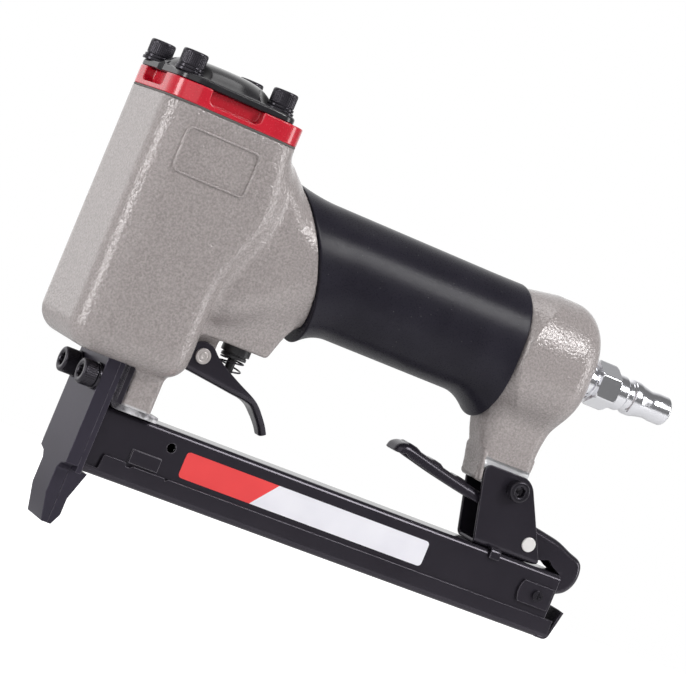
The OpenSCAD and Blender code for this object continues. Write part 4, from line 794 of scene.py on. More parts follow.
# one point in each cell that the surface crosses, at the mean of its edge crossings;
# four cells round a crossed edge make a face
def surfaceNet(field, low, high, cell):
    axes = [np.arange(a, b + cell, cell) for a, b in zip(low, high)]
    slab = lambda x: np.stack(np.meshgrid([x], axes[1], axes[2], indexing="ij"), -1)
    value = np.stack([field(slab(x))[0] for x in axes[0]])
    inside = value < 0
    size = np.array(value.shape) - 1
    part = lambda a, o: a[o[0]:o[0] + size[0], o[1]:o[1] + size[1], o[2]:o[2] + size[2]]
    total, count = np.zeros((*size, 3)), np.zeros(size)
    steps = np.eye(3, dtype=int)
    for d in range(3):
        others = [steps[k] for k in range(3) if k != d]
        for m in range(4):
            a = others[0] * (m & 1) + others[1] * (m >> 1)
            va, vb = part(value, a), part(value, a + steps[d])
            crossed = (va < 0) != (vb < 0)
            t = np.where(crossed, va / np.where(crossed, va - vb, 1), 0)
            total += crossed[..., None] * (a + t[..., None] * steps[d])
            count += crossed
    used = count > 0
    index = np.full(size, -1)
    index[used] = np.arange(used.sum())
    points = (np.argwhere(used) + total[used] / count[used][:, None]) * cell + np.asarray(low)
    faces = []
    for d, (u, v) in enumerate(((1, 2), (2, 0), (0, 1))):
        a = np.take(inside, np.arange(size[d]), d)
        b = np.take(inside, np.arange(1, size[d] + 1), d)
        at = np.argwhere(a != b)
        at = at[(at[:, u] > 0) & (at[:, v] > 0) & (at[:, u] < size[u]) & (at[:, v] < size[v])]
        flip = ~a[tuple(at.T)]
        ring = [at - steps[u] - steps[v], at - steps[v], at, at - steps[u]]
        quad = np.stack([index[tuple(q.T)] for q in ring], -1)
        quad[flip] = quad[flip][:, ::-1]
        faces.append(quad)
    return points, np.concatenate(faces)


# net of the field, moved onto its zero by Newton steps, with normals from its slope
def makeCasting():
    f, m = castForm, milledForm
    points, faces = surfaceNet(castingField, f["low"], f["high"], f["cell"])
    for _ in range(f["newton"]):
        slope = fieldSlope(castingField, points)
        move = (castingField(points) / np.maximum((slope ** 2).sum(-1), 0.05))[:, None] * slope
        points = points - np.clip(move, -f["mostMove"], f["mostMove"])
    slope = fieldSlope(castingField, points)
    normals = slope / np.maximum(np.linalg.norm(slope, axis=1), 1e-6)[:, None]
    piece = makePiece("castBody", points, faces)
    x, z = points[:, 0], points[:, 2]
    leg = (z < m["leg"]) & (x > m["rib"] + (ribForm["z"] - z) * ribForm["lean"])
    milled = leg | ((z < m["foot"]) & (x < m["front"]))
    mask = piece.data.attributes.new("milled", "FLOAT", "POINT")
    mask.data.foreach_set("value", milled.astype(np.float32))
    piece.data.normals_split_custom_set_from_vertices(normals.tolist())
    return dress(piece, "hammertone", ["body_casting"])


print("casting:", len(makeCasting().data.polygons), "faces")

panelForm = {
    "x": (-12.6, 13.7), "z": (120.3, 135.0), "corner": 2.6, "half": 0.5, "rise": 0.8, "sunk": 0.25, "sides": 9,
    "between": (18.0, 25.0), "halvings": 20, "press": 0.03,
}


# low raised frame round the flat of the head: half-ellipse section carried along a rounded rectangle,
# set on the field's own surface
def makePanelFrame(name, side):
    f = panelForm
    (x0, x1), (z0, z1) = f["x"], f["z"]
    line = filletLine([(x0, z0), (x1, z0), (x1, z1), (x0, z1)], f["corner"], 12, closed=True)
    run = np.roll(line, -1, 0) - np.roll(line, 1, 0)
    out = np.stack([run[:, 1], -run[:, 0]], -1) / np.linalg.norm(run, axis=1)[:, None]
    turn = np.linspace(0, np.pi, f["sides"])
    place = line[:, None] + out[:, None] * (f["half"] * np.cos(turn))[None, :, None]
    spot = lambda y: np.stack([place[..., 0], y * side, place[..., 1]], -1)
    ends = (np.full(place.shape[:2], y) for y in f["between"])
    low = findBorder(lambda y: castingField(spot(y)) < 0, *ends, f["halvings"])[0]
    rows = spot(low + f["rise"] * np.sin(turn)[None, :] - f["press"])
    base = np.stack([line[:, 0], (low.mean(1) - f["sunk"]) * side, line[:, 1]], -1)[:, None]
    gridPiece(name, [np.concatenate([rows, base], 1)], "hammertone", sharp=60, wrapRows=True)


makePanelFrame("panelFrameNear", -1)
makePanelFrame("panelFrameFar", 1)


# grip sleeve

# top, low and side are the flares at each end, run is how far they reach
gripForm = {
    "inner": 15.26, "outer": 18.4, "lift": 3.0, "square": 3, "edge": 0.75, "power": 1.6, "gap": 0.1,
    "front": {"top": 2.3, "low": 5.3, "side": 0.9, "run": 14.5},
    "rear": {"top": 0.2, "low": 5.7, "side": 0.5, "run": 14.0},
    "columns": 240, "rows": 96, "even": 0.4,
}


# stadium loft between its two ends; flares f(1-a/run)^2 at both ends by direction, rounded lips, closed inside
def makeGrip():
    g = gripForm
    angle = np.arange(g["columns"]) / g["columns"] * tau
    across, rise = np.cos(angle), np.sin(angle)
    top, low = (np.maximum(r, 0) ** g["power"] for r in (rise, -rise))
    t = np.linspace(0, 1, g["rows"])
    share = (1 - g["even"]) * (0.5 - 0.5 * np.cos(np.pi * t)) + g["even"] * t
    length = castForm["gripRear"] - castForm["gripFront"]
    radius = g["outer"]
    for end, away in (("front", share * length), ("rear", length - share * length)):
        e, away = g[end], away[:, None]
        flare = e["side"] + (e["top"] - e["side"]) * top + (e["low"] - e["side"]) * low
        back = np.clip(1 - away / g["edge"], 0, 1)
        radius = radius + flare * np.maximum(1 - away / e["run"], 0) ** 2
        radius = radius - g["edge"] * (1 - np.sqrt(np.clip(1 - back ** 2, 0, 1)))
    wall = np.full((1, g["columns"]), g["inner"])
    radius = np.concatenate([wall, radius, wall, wall, wall])
    share = np.concatenate([[0], share, [1], [0.5], [0.25]])[:, None]
    z = places["handleZ"] + radius * rise + g["lift"] * np.tanh(rise * g["square"]) / np.tanh(g["square"])
    x = gripFrontX(z) + g["gap"] + share * (castForm["gripRear"] - gripFrontX(z) - g["gap"])
    grid = np.stack([x, radius * across, z], -1)
    gridPiece("gripSleeve", [grid], "rubber", ["handle_grip"], sharp=50, wrapRows=True)


makeGrip()
print("grip made")


# cap, deflector and their screws

softenedCopy("capCover", "cylinder_cap", "capRed", 0.7, 4)

deflectorForm = {
    "front": -20.5, "rear": 22.4, "half": 22.7, "corner": 7.0, "floor": 148.0, "top": 150.2, "edge": 0.9,
    "domeR": 20.0, "domeH": 5.8, "power": 4.4, "domeEdge": 1.2, "land": 5.0, "blend": 3.2,
    "notch": 2.0, "notchDeep": 1.2, "notchEase": 0.6, "columns": 360, "rows": 60, "reach": 60.0, "halvings": 40,
    "under": ((1.0, 0.3), (0.985, 0.0), (0.5, 0.0), (0.0, 0.0)),
}


# pressed sheet: polar grid over the outline, height h(1-s^n) kept flat round the screws,
# rolled rim, flat underside
def makeDeflector():
    d = deflectorForm
    angle = np.arange(d["columns"]) / d["columns"] * tau
    ring = lambda r, z: np.stack([r * np.cos(angle), r * np.sin(angle), np.broadcast_to(z, r.shape)], -1)
    plate = lambda x, y: spanField(x, d["front"], d["rear"], y, d["half"], d["corner"])
    held = lambda r: plate(r * np.cos(angle), r * np.sin(angle)) <= 0
    ends = findBorder(held, np.zeros_like(angle), np.full_like(angle, d["reach"]), d["halvings"])
    reach = sum(ends) / 2
    fromFront = np.abs(reach * np.sin(angle))
    atNotch = easeStep((d["notch"] + d["notchEase"] / 2 - fromFront) / d["notchEase"])
    reach = reach - d["notchDeep"] * (np.cos(angle) < 0) * atNotch
    inner = np.linspace(0, 1, d["rows"])[:, None] * (reach - d["edge"])[None, :]
    x, y = inner * np.cos(angle), inner * np.sin(angle)
    away = np.hypot(np.abs(x) - places["capScrew"][0], np.abs(y) - places["capScrew"][1])
    dome = d["domeH"] * (1 - np.clip(inner / d["domeR"], 0, 1) ** d["power"])
    dome = blendMax(dome, np.zeros_like(dome), d["domeEdge"])
    height = d["top"] + dome * easeStep((away - d["land"]) / d["blend"])
    turn = np.linspace(0, np.pi / 2, 6)[1:, None]
    rimOut = (reach - d["edge"])[None, :] + d["edge"] * np.sin(turn)
    rimUp = d["top"] - d["edge"] * (1 - np.cos(turn))
    share, lift = np.array(d["under"]).T[:, :, None]
    rim = ring(rimOut, rimUp + height[-1:] - d["top"])
    grid = np.concatenate([ring(inner, height), rim, ring(share * reach, d["floor"] + lift)])
    gridPiece("deflectorShell", [grid], "deflectorBlack", ["exhaust_deflector"])


makeDeflector()

socketForm = {"columns": 168, "teeth": 42, "knurl": 0.03, "knurlPower": 1.5, "bottom": 0.9, "edge": 0.17}
screwM5 = {"headR": 4.25, "headH": 5.0, "shankR": 2.5, "key": 4.0, "depth": 2.7}


# socket-head screw about its axis: cone and hexagon of the socket, dished rim, knurled side and a plain shank
def socketGrid(origin, axis, screw, shankL):
    n = socketForm["columns"]
    headR, headH, shankR, halfKey = screw["headR"], screw["headH"], screw["shankR"], screw["key"] / 2
    angle = np.arange(n) / n * tau
    tooth = np.abs((angle * socketForm["teeth"] / tau) % 1 - 0.5) * 2
    knurled = headR * (1 - socketForm["knurl"] * tooth ** socketForm["knurlPower"])
    hexagon = hexRadius(halfKey, n)
    floor, edge = headH - screw["depth"], headR * socketForm["edge"]
    rows = [(0, floor - socketForm["bottom"]), (hexagon * 0.99, floor), (hexagon, floor + 0.1),
            (hexagon, headH - 0.4), (np.maximum(hexagon, halfKey * 1.155), headH - 0.12),
            (halfKey * 1.25, headH)]
    for t in np.linspace(0, np.pi / 2, 5):
        rows.append((headR - edge * (1 - math.sin(t)), headH - edge * (1 - math.cos(t))))
    rows += [(headR, headH - edge - 0.12), (knurled, headH - edge - 0.35), (knurled, 0.55),
             (headR * 0.985, 0.35), (headR * 0.96, 0.05), (headR * 0.93, 0), (shankR + 0.05, 0), (shankR, -0.3),
             (shankR, -shankL + 0.5), (shankR - 0.5, -shankL), (0, -shankL)]
    return turnedGrid(rows, n, origin, axis)


washerForm = {
    "outer": 4.9, "inner": 2.6, "edge": 0.2, "columns": 72,
    "splitOuter": 4.55, "splitEdge": 0.08, "splitColumns": 96, "gap": 0.055, "rise": 0.22,
}


# flat ring with rounded edges: a closed section turned about its axis
def washerGrid(origin, axis, thick):
    w = washerForm
    corners = [(w["inner"], 0), (w["outer"], 0), (w["outer"], thick), (w["inner"], thick)]
    return turnedGrid(filletLine(corners, w["edge"], 4, closed=True), w["columns"], origin, axis)


# spring washer: a square section that climbs by its gap over one turn, closed at both cut ends
def splitWasherGrid(origin, axis, thick):
    w = washerForm
    corners = [(w["inner"], 0), (w["splitOuter"], 0), (w["splitOuter"], 1), (w["inner"], 1)]
    line = filletLine(corners, w["splitEdge"], 3, closed=True)
    span = np.linspace(w["gap"], tau - w["gap"], w["splitColumns"])
    axis, side, third = crossAxes(axis, xAxis, zAxis)
    out = np.cos(span)[:, None] * side + np.sin(span)[:, None] * third
    high = line[None, :, 1] * thick * (1 - w["rise"]) + w["rise"] * thick * (span / tau)[:, None]
    grid = np.asarray(origin, float) + line[None, :, :1] * out[:, None] + high[..., None] * axis
    ends = grid.mean(1, keepdims=True)[[0, -1]].repeat(len(line), 1)
    return np.concatenate([ends[:1], grid, ends[1:]])


capStack = {"flat": 150.2, "split": 151.2, "head": 152.3, "flatThick": 1.0, "splitThick": 1.1, "shank": 27.0}


# the same grid at each of the four cap screws
def atCapScrews(make, z, *sizes):
    x, y = places["capScrew"]
    return [make((sx * x, sy * y, z), zAxis, *sizes) for sx in (-1, 1) for sy in (-1, 1)]


screws = atCapScrews(socketGrid, capStack["head"], screwM5, capStack["shank"])
gridPiece("capScrews", screws, "blackOxide", ["cap_screws"])
washers = atCapScrews(washerGrid, capStack["flat"], capStack["flatThick"])
gridPiece("capFlatWashers", washers, "blackOxide", ["cap_flat_washers"], wrapRows=True)
washers = atCapScrews(splitWasherGrid, capStack["split"], capStack["splitThick"])
gridPiece("capSpringWashers", washers, "blackOxide", ["cap_spring_washers"])
print("cap stack made")


# nose

softenedCopy("noseFrontPlate", "nose_front_plate", "toolSteel", 0.7, 4)
softenedCopy("noseBackPlate", "nose_back_plate", "toolSteel", 0.2, 2)
softenedCopy("noseSpacer", "nose_spacer", "blackSheet", 0.15, 2, slot="black_tool_steel")

footForm = {
    "leaf": 3.4, "flange": 43.4, "bend": 2.4, "rear": 20.9, "half": (13.15, 11.1), "thick": (0.74, 1.02),
    "ease": 2.6, "rim": 0.35, "columns": 7, "past": 0.02,
}


# leaf bent into a flange: width and thickness ease from one to the other past the bend;
# the flange's rims are bare
def makeFootBracket():
    f = footForm
    top = boxMm("magazine_bracket")[1][2] - f["rim"]
    line = filletLine([(f["leaf"], top), (f["leaf"], f["flange"]), (f["rear"], f["flange"])], f["bend"], 10)
    first, last = (line[:1] + line[1:2]) / 2, line[-2:-1] * 0.7 + line[-1:] * 0.3
    line = np.concatenate([line[:1], first, line[1:-1], last, line[-1:]])
    bent = easeStep((line[:, 0] - f["leaf"]) / f["ease"])
    wide, thick = mixed(*f["half"], bent), mixed(*f["thick"], bent)
    grid = carryAcross(line, wide[:, None] * np.linspace(-1, 1, f["columns"]))
    # its edges carry the worn colour, partly a painted highlight on the bend and rims
    piece = makeSheet("magazineBracket", grid, thick, f["rim"], "highlitWornSheet", ["magazine_bracket"])
    x, y, z = np.array([v.co for v in piece.data.vertices]).T / mm
    bare = ((np.abs(y) > f["half"][1] + f["past"]) | (x > f["rear"] + f["past"])) & (x > f["leaf"] + f["ease"])
    mask = piece.data.attributes.new("bare", "FLOAT", "POINT")
    mask.data.foreach_set("value", bare.astype(np.float32))


makeFootBracket()
noseSeat, noseBack = (c[0] for c in boxMm("nose_washers"))
noseShank = boxMm("nose_screws")[1][0] - noseSeat
noseSpots = [(noseSeat, s * places["noseScrew"][0], places["noseScrew"][1]) for s in (-1, 1)]
screws = [socketGrid(spot, -xAxis, screwM5, noseShank) for spot in noseSpots]
gridPiece("noseScrews", screws, "blackOxide", ["nose_screws"])
washers = [splitWasherGrid(spot, xAxis, noseBack - noseSeat) for spot in noseSpots]
gridPiece("noseWashers", washers, "blackOxide", ["nose_washers"])
print("nose made")


# magazine

softenedCopy("magazineChannel", "fixed_magazine", "blackSheet", 0.45, 3, angle=35)

sliderForm = {
    "half": 9.0, "floor": 20.1, "top": 26.5, "bend": 1.7, "thick": 0.5, "rim": 0.3, "edgeCut": 0.3,
    "lift": (22.0, 4.5), "endBend": 1.8, "endHalf": 8.9, "endThick": 0.48, "endColumns": 7,
    "edge": ((3.25, 22.2), (9.0, 22.2), (9.5, 27.1), (17.1, 27.1), (17.5, 25.8), (19.4, 25.8), (19.9, 26.5),
             (31.8, 26.5), (32.1, 25.8), (32.9, 25.8), (33.2, 26.5), (80, 26.5), (130, 26.5), (188.1, 26.5)),
    "end": ((184.0, 20.1), (188.5, 20.1), (190.9, 30.7)),
}


# U section carried along X, its wall tops following the edge line; an end plate leans back from the floor
def makeSlider():
    f = sliderForm
    edge = filletLine(f["edge"], f["edgeCut"], 4)
    corners = [(-f["half"], f["top"]), (-f["half"], f["floor"]), (f["half"], f["floor"]), (f["half"], f["top"])]
    line = filletLine(corners, f["bend"], 8)
    lift = np.clip((line[:, 1] - f["lift"][0]) / f["lift"][1], 0, 1)
    z = line[None, :, 1] + (edge[:, 1:] - f["top"]) * lift[None]
    x, y = np.broadcast_to(edge[:, :1], z.shape), np.broadcast_to(line[:, 0], z.shape)
    grid = np.stack([x, y, z], -1)
    makeSheet("magazineSlider", grid, f["thick"], f["rim"], stands=["magazine_slider"], body="slider")
    path = filletLine(f["end"], f["endBend"], 8)
    grid = carryAcross(path, np.linspace(-f["endHalf"], f["endHalf"], f["endColumns"]))
    makeSheet("sliderEndPlate", grid, f["endThick"], f["rim"], body="slider")


makeSlider()
softenedCopy("rearClips", "rear_clips", "blackSheet", 0.45, 3)
softenedCopy("clipScrews", "clip_screws", "blackOxide", 0.25, 2)


# rounded outline carried up its thickness, both faces closed to the middle
def makeLabel():
    f = labelForm
    corners = [(f["front"], f["low"]), (f["rear"], f["low"]), (f["rear"], f["high"]), (f["front"], f["high"])]
    line = filletLine(corners, f["corner"], 8, closed=True)
    middle = line.mean(0)
    rows = []
    for share, rise in ((0, 0), (1, 0), (1, 0.7), (0.9985, 1), (0, 1)):
        x, z = (middle + (line - middle) * share).T
        rows.append(np.stack([x, np.full(len(line), f["face"] - f["thick"] * rise), z], -1))
    gridPiece("ratingPlate", [np.stack(rows)], "label", sharp=30)


makeLabel()
print("magazine made")


# rear bracket, latch and trigger

rearForm = {
    "front": 141.6, "long": 34.4, "low": 42.3, "high": 27.4, "half": 6.3, "thick": 0.68, "bend": 1.5,
    "rim": 0.3, "corner": 3.2, "base": (148.6, 171.9), "levels": (0.8, 0.6, 0.4, 0.2), "lift": 0.05, "rows": 13,
    "frontLine": ((0, 0.2), (0.257, 0.142), (0.814, 0.015), (1.0, -0.022)),
    "rearLine": ((0, 1.0), (0.089, 0.97), (0.464, 0.802), (0.9, 0.6), (1.0, 0.555)),
    "tabX": (155.3, 158.8), "tabLine": ((4.0, 43.0), (8.75, 43.0), (9.0, 39.9)), "tabBend": 1.3,
    "tabThick": 0.5,
}


# two leaning plates joined by a base: columns run down one plate, across and up the other,
# rows from front edge to rear edge
def makeRearBracket():
    f = rearForm
    high = f["high"] - f["rim"]
    turn = np.linspace(0, np.pi / 2, 9)
    level = np.concatenate([high - f["corner"] * (1 - np.sin(turn))[::-1], high * np.array(f["levels"])])
    cut = np.concatenate([f["corner"] * (1 - np.cos(turn))[::-1], np.zeros(len(f["levels"]))])
    floor = f["thick"] + f["lift"]
    wall = np.full(len(level), f["half"])
    bendY = f["half"] - f["bend"] * (1 - np.cos(turn))
    bendZ = floor + f["bend"] * (1 - np.sin(turn))
    y = np.concatenate([-wall, -bendY, [0], bendY[::-1], wall])
    z = np.concatenate([level, bendZ, [floor], bendZ[::-1], level[::-1]])
    cut = np.concatenate([cut, np.zeros(2 * len(turn) + 1), cut[::-1]])
    line = lambda key: f["front"] + f["long"] * np.interp(z / f["high"], *zip(*f[key]))
    flat = easeStep((f["half"] - np.abs(y)) / f["bend"])
    front = line("frontLine") * (1 - flat) + f["base"][0] * flat + f["rim"] + cut
    rear = line("rearLine") * (1 - flat) + f["base"][1] * flat - f["rim"] - cut
    x = mixed(front, rear, np.linspace(0, 1, f["rows"])[:, None])
    grid = np.stack([x, np.broadcast_to(y, x.shape), np.broadcast_to(z + f["low"], x.shape)], -1)
    makeSheet("rearBracket", grid, f["thick"], f["rim"], stands=["rear_bracket"])
    path = filletLine(f["tabLine"], f["tabBend"], 8)
    for name, side in (("bracketTabNear", -1), ("bracketTabFar", 1)):
        grid = carryAcross(path * (side, 1), np.linspace(*f["tabX"], 5))[..., [1, 0, 2]]
        makeSheet(name, grid, f["tabThick"], f["rim"])


makeRearBracket()


# grid of a pressed channel: walls hang from the top line towards the low line, round bends between;
# a bump may lift the web
def channelGrid(top, low, wide, form, bump=lambda x, y: 0):
    thick, bend = form["thick"], form["bend"]
    down = low - top
    deep = np.linalg.norm(down, axis=1)[:, None]
    down = down / deep
    deep = np.maximum(deep - thick - form["rim"], bend + 0.15)
    count = len(top)
    turn = np.linspace(0, np.pi / 2, 7)[None]
    wall = bend + (deep - bend) * np.array([[1, 0.7, 0.4, 0.15]])
    arc = np.broadcast_to(bend - bend * np.sin(turn), (count, 7))
    depth = np.concatenate([wall, arc, np.zeros((count, 9)), arc[:, ::-1], wall[:, ::-1]], 1)
    wide = np.broadcast_to(np.asarray(wide, float).reshape(-1, 1), (count, 1))
    half = np.concatenate([wide.repeat(4, 1), wide - bend + bend * np.cos(turn)], 1)
    y = np.concatenate([-half, (wide - bend) * np.linspace(-1, 1, 11)[None, 1:-1], half[:, ::-1]], 1)
    start = top + down * thick
    depth = depth - bump(start[:, :1], y) * (depth < 0.5)
    return np.stack([start[:, :1] + down[:, :1] * depth, y, start[:, 1:] + down[:, 1:] * depth], -1)


# outlines are in shares of the size, from the rivet
latchForm = {
    "size": (59.7, 17.2), "half": 4.5, "thick": 0.7, "bend": 1.7, "rim": 0.35, "bumps": (115.0, 125.5, 136.5),
    "bumpLong": 2.6, "bumpRise": 0.6, "bumpEase": 1.0, "bumpIn": 0.6, "bumpSide": 0.9,
    "top": ((-1.015, 0.79), (-1.003, 0.907), (-0.968, 0.985), (-0.931, 0.99), (-0.838, 0.93), (-0.7, 0.83),
            (-0.538, 0.714), (-0.422, 0.648), (-0.3, 0.58), (-0.201, 0.52), (-0.1, 0.455), (0, 0.39),
            (0.119, 0.325), (0.22, 0.26), (0.32, 0.13), (0.4, 0.025), (0.427, -0.15), (0.426, -0.39),
            (0.397, -0.6), (0.354, -0.715), (0.295, -0.785)),
    "low": ((-0.955, 0.8), (-0.945, 0.81), (-0.93, 0.8), (-0.9, 0.74), (-0.82, 0.675), (-0.7, 0.582),
            (-0.538, 0.478), (-0.422, 0.41), (-0.3, 0.355), (-0.19, 0.15), (-0.09, -0.12), (0.03, -0.22),
            (0.12, -0.235), (0.186, -0.17), (0.225, -0.26), (0.26, -0.32), (0.285, -0.36), (0.295, -0.48),
            (0.288, -0.58), (0.268, -0.635), (0.245, -0.67)),
}


# latch arm: a channel along its outline with low bumps across the thumb end
def makeLatch():
    f = latchForm
    rivet = np.array(places["latchRivet"])
    top, low = (smoothLine(rivet + np.array(f[key]) * f["size"]) for key in ("top", "low"))
    ridge = lambda x, b: f["bumpRise"] * easeStep((f["bumpLong"] - np.abs(x - b)) / f["bumpEase"])
    inwards = lambda y: easeStep((f["half"] - f["bumpIn"] - np.abs(y)) / f["bumpSide"])
    bump = lambda x, y: sum(ridge(x, b) for b in f["bumps"]) * inwards(y)
    grid = channelGrid(top, low, f["half"], f, bump)
    makeSheet("latchLever", grid, f["thick"], f["rim"], "pressedSheet", ["latch_lever"], "latch")


makeLatch()

# the web's points also give its half width
triggerForm = {
    "thick": 0.6, "bend": 1.3, "rim": 0.3,
    "web": ((23.3, 62.3, 6.1), (25.4, 62.0, 6.1), (28.0, 61.7, 6.1), (30.6, 61.4, 6.1), (33.4, 61.05, 6.1),
            (38.0, 60.5, 6.1), (44.0, 59.75, 6.0), (49.4, 59.2, 5.5), (53.0, 58.0, 4.4), (56.2, 55.2, 3.6),
            (58.7, 52.5, 3.1), (60.4, 50.1, 2.7)),
    "edge": ((23.7, 70.9), (25.6, 72.0), (28.5, 72.9), (31.6, 72.0), (34.4, 69.7), (39.0, 67.0), (45.4, 64.0),
             (51.3, 61.5), (54.9, 59.5), (57.6, 56.8), (59.9, 53.7), (61.5, 51.0)),
}


# trigger: a channel whose web is the finger side;
# its walls rise round the pin and run out along the curled finger
def makeTrigger():
    f = triggerForm
    web = smoothLine(f["web"])
    grid = channelGrid(web[:, :2], smoothLine(f["edge"]), web[:, 2], f)
    makeSheet("triggerLever", grid, f["thick"], f["rim"], "pressedSheet", ["trigger"], "trigger")


makeTrigger()

boltX, boltZ = places["rearBolt"]
boltLow, boltHigh = boxMm("rear_bolt")
boltSeat = boxMm("rear_bracket")[0][1]
boltForm = {
    "headR": (boltHigh[2] - boltLow[2]) / 2, "headH": boltSeat - boltLow[1], "shankR": 2.0, "key": 3.4,
    "depth": 2.2,
}
bolt = socketGrid((boltX, boltSeat, boltZ), -yAxis, boltForm, boltHigh[1] - boltSeat)
gridPiece("rearBolt", [bolt], "blackOxide", ["rear_bolt"])

nutForm = {"hole": 2.05, "face": 0.85, "chamfer": 0.95, "low": 0.12, "high": 0.4, "flats": 0.866, "columns": 96}


# hexagon nut: chamfered ends, round hole
def makeNut():
    f = nutForm
    low, high = boxMm("rear_nut")
    thick, corner = high[1] - low[1], (high[0] - low[0]) / 2
    hexagon = hexRadius(corner * f["flats"], f["columns"])
    cone = np.minimum(hexagon, corner * f["chamfer"])
    end = [(f["hole"], 0), (corner * f["face"], 0), (cone, f["low"]), (hexagon, f["high"])]
    rows = end + [(r, thick - h) for r, h in end[::-1]]
    grid = turnedGrid(rows, f["columns"], (boltX, low[1], boltZ), yAxis, side=xAxis)
    gridPiece("rearNut", [grid], "blackOxide", ["rear_nut"], sharp=30, wrapRows=True)


makeNut()

pinForms = {
    "latchRivet": {"node": "latch_rivet", "grow": 1.1, "finish": "nickel", "ring": 0.02},
    "triggerPin": {"node": "trigger_pin", "grow": 1.0, "finish": "dullNickel", "ring": 0.24},
}


# round pin turned about Y, with a dimple and a fine ring in both ends
def makePin(name, form):
    low, high = boxMm(form["node"])
    r, half = (high[2] - low[2]) / 2 * form["grow"], (high[1] - low[1]) / 2
    deep = half - form["ring"]
    end = [(0, half), (r * 0.14, deep), (r * 0.28, half), (r * 0.5, half), (r * 0.6, deep), (r * 0.7, half),
           (r, half - 0.02), (r, half - 0.6)]
    line = filletLine(end + [(a, -b) for a, b in end[::-1]], 0.22, 5)
    x, z = places[name]
    gridPiece(name, [turnedGrid(line, 64, (x, 0, z), yAxis)], form["finish"], [form["node"]])


for name, form in pinForms.items():
    makePin(name, form)

# radius and height of the foot's steps
valveForm = {
    "bore": 1.9, "guide": 5.0, "foot": ((4.4, 0), (4.4, 1.0), (4.1, 1.1), (4.1, 1.5), (5.0, 1.6)), "edge": 0.15,
    "columns": 64,
}


# valve sleeve: stepped disc at its foot, a groove, then the guide up to its top
def makeValve():
    f = valveForm
    low, high = (c[2] for c in boxMm("valve_body"))
    corners = [(f["bore"], low), *((r, low + h) for r, h in f["foot"]), (f["guide"], high), (f["bore"], high)]
    line = filletLine(corners, f["edge"], 4, closed=True)
    grid = turnedGrid(line, f["columns"], (places["valveX"], 0, 0), zAxis)
    gridPiece("valveSleeve", [grid], "darkPlastic", ["valve_body"], wrapRows=True)


makeValve()
print("latch and trigger made")


# springs

# share of the pusher's spring that stays when the travel of its joint and a little more is taken off; it is
# printed and kept in its form
pusherTravel = 45.3
pusherFront, pusherRear = (c[0] for c in boxMm("pusher_spring"))
pusherKeep = 1 - pusherTravel / (pusherRear - pusherFront)
print("pusher spring:", round(pusherRear - pusherFront, 2), "mm, kept share", round(pusherKeep, 3))
springForms = {
    "valveSpring": {
        "node": "valve_spring", "axis": (0, 0, 1), "wire": 0.3, "turns": 3.6, "finish": "blackOxide",
        "joint": "stem_slide", "anchor": (0.0419, 0, 0.07075), "keep": 0.68,
    },
    "headValveSpring": {
        "node": "head_valve_spring", "axis": (0, 0, 1), "wire": 0.7, "turns": 5,
        "joint": "head_valve_slide", "anchor": (0, 0, 0.144), "keep": 0.72,
    },
    "pusherSpring": {
        "node": "pusher_spring", "axis": (1, 0, 0), "wire": 0.4, "turns": 20, "body": "slider",
        "joint": "pusher_slide", "anchor": (pusherRear * mm, 0, 0), "keep": pusherKeep,
    },
    "latchSpring": {"node": "latch_spring", "axis": (0, 1, 0), "wire": 0.4, "turns": 4},
}


# a coil that fills its node's box along one axis; a coil with a joint gets a mesh of its own
def makeSpring(name, form):
    low, high = boxMm(form["node"])
    axis, wire = form["axis"], form["wire"]
    k = int(np.argmax(axis))
    j = (k + 1) % 3
    origin = (low + high) / 2
    origin[k] = low[k]
    grid = coilGrid((high[j] - low[j]) / 2 - wire, wire, form["turns"], high[k] - low[k], origin, axis)
    piece = gridPiece(name, [grid], form.get("finish", "spring"), [form["node"]], sharp=None, near=0.0005,
                      slot="spring_steel", body=form.get("body", "frame_body"))
    if "joint" in form:
        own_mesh(piece)


for name, form in springForms.items():
    makeSpring(name, form)
print("springs made")


# air plug

# neck in radius and place before the hexagon, nipple in radius, place after it and rounding
plugForm = {
    "hexFrom": 170.3, "hexTo": 178.5, "flats": 14.3, "cone": (0.93, 0.965), "chamfer": (0.25, 0.75),
    "start": 152.0, "startR": 6.3, "end": 202.3, "bore": 3.0, "boreEnd": 180.0, "columns": 144,
    "neck": ((6.4, 2.6), (5.7, 2.3), (5.7, 1.3), (6.5, 1.0), (6.5, 0.0)),
    "nipple": ((7.0, 0, 0), (6.3, 0, 0.3), (6.3, 4.5, 0.4), (5.4, 5.1, 0.3), (5.4, 7.2, 0.3), (6.3, 7.8, 0.4),
               (6.3, 10.4, 0.6), (5.8, 12.2, 1.0), (4.9, 16.4, 1.6), (5.3, 19.2, 1.0)),
    "lip": ((5.3, 0.5, 0.25), (4.9, 0.0, 0.2), (3.0, 0.0, 0)),
}


# turned profile along X: neck, hexagon cut by two chamfer cones, collar, groove and waisted nipple,
# bored through
def makePlug():
    p = plugForm
    hexagon = hexRadius(p["flats"] / 2, p["columns"])
    steep, mild = (np.minimum(hexagon, p["flats"] / 2 * 1.155 * c) for c in p["cone"])
    a, b = p["hexFrom"], p["hexTo"]
    small, large = p["chamfer"]
    rows = [(p["bore"], p["start"]), (p["startR"], p["start"]), *((r, a - h) for r, h in p["neck"])]
    rows += [(steep, a), (mild, a + small), (hexagon, a + large)]
    rows += [(hexagon, b - large), (mild, b - small), (steep, b)]
    profile = [(r, b + h, c) for r, h, c in p["nipple"]] + [(r, p["end"] - h, c) for r, h, c in p["lip"]]
    profile = np.array(profile)
    rows += [*filletLine(profile[:, :2], profile[:, 2], 5), (p["bore"], p["boreEnd"])]
    grid = turnedGrid(rows, p["columns"], (0, 0, places["handleZ"]), xAxis)
    gridPiece("airPlug", [grid], "chrome", ["air_plug"], sharp=35, wrapRows=True)


makePlug()
print("plug made")


# camera, lights and ground

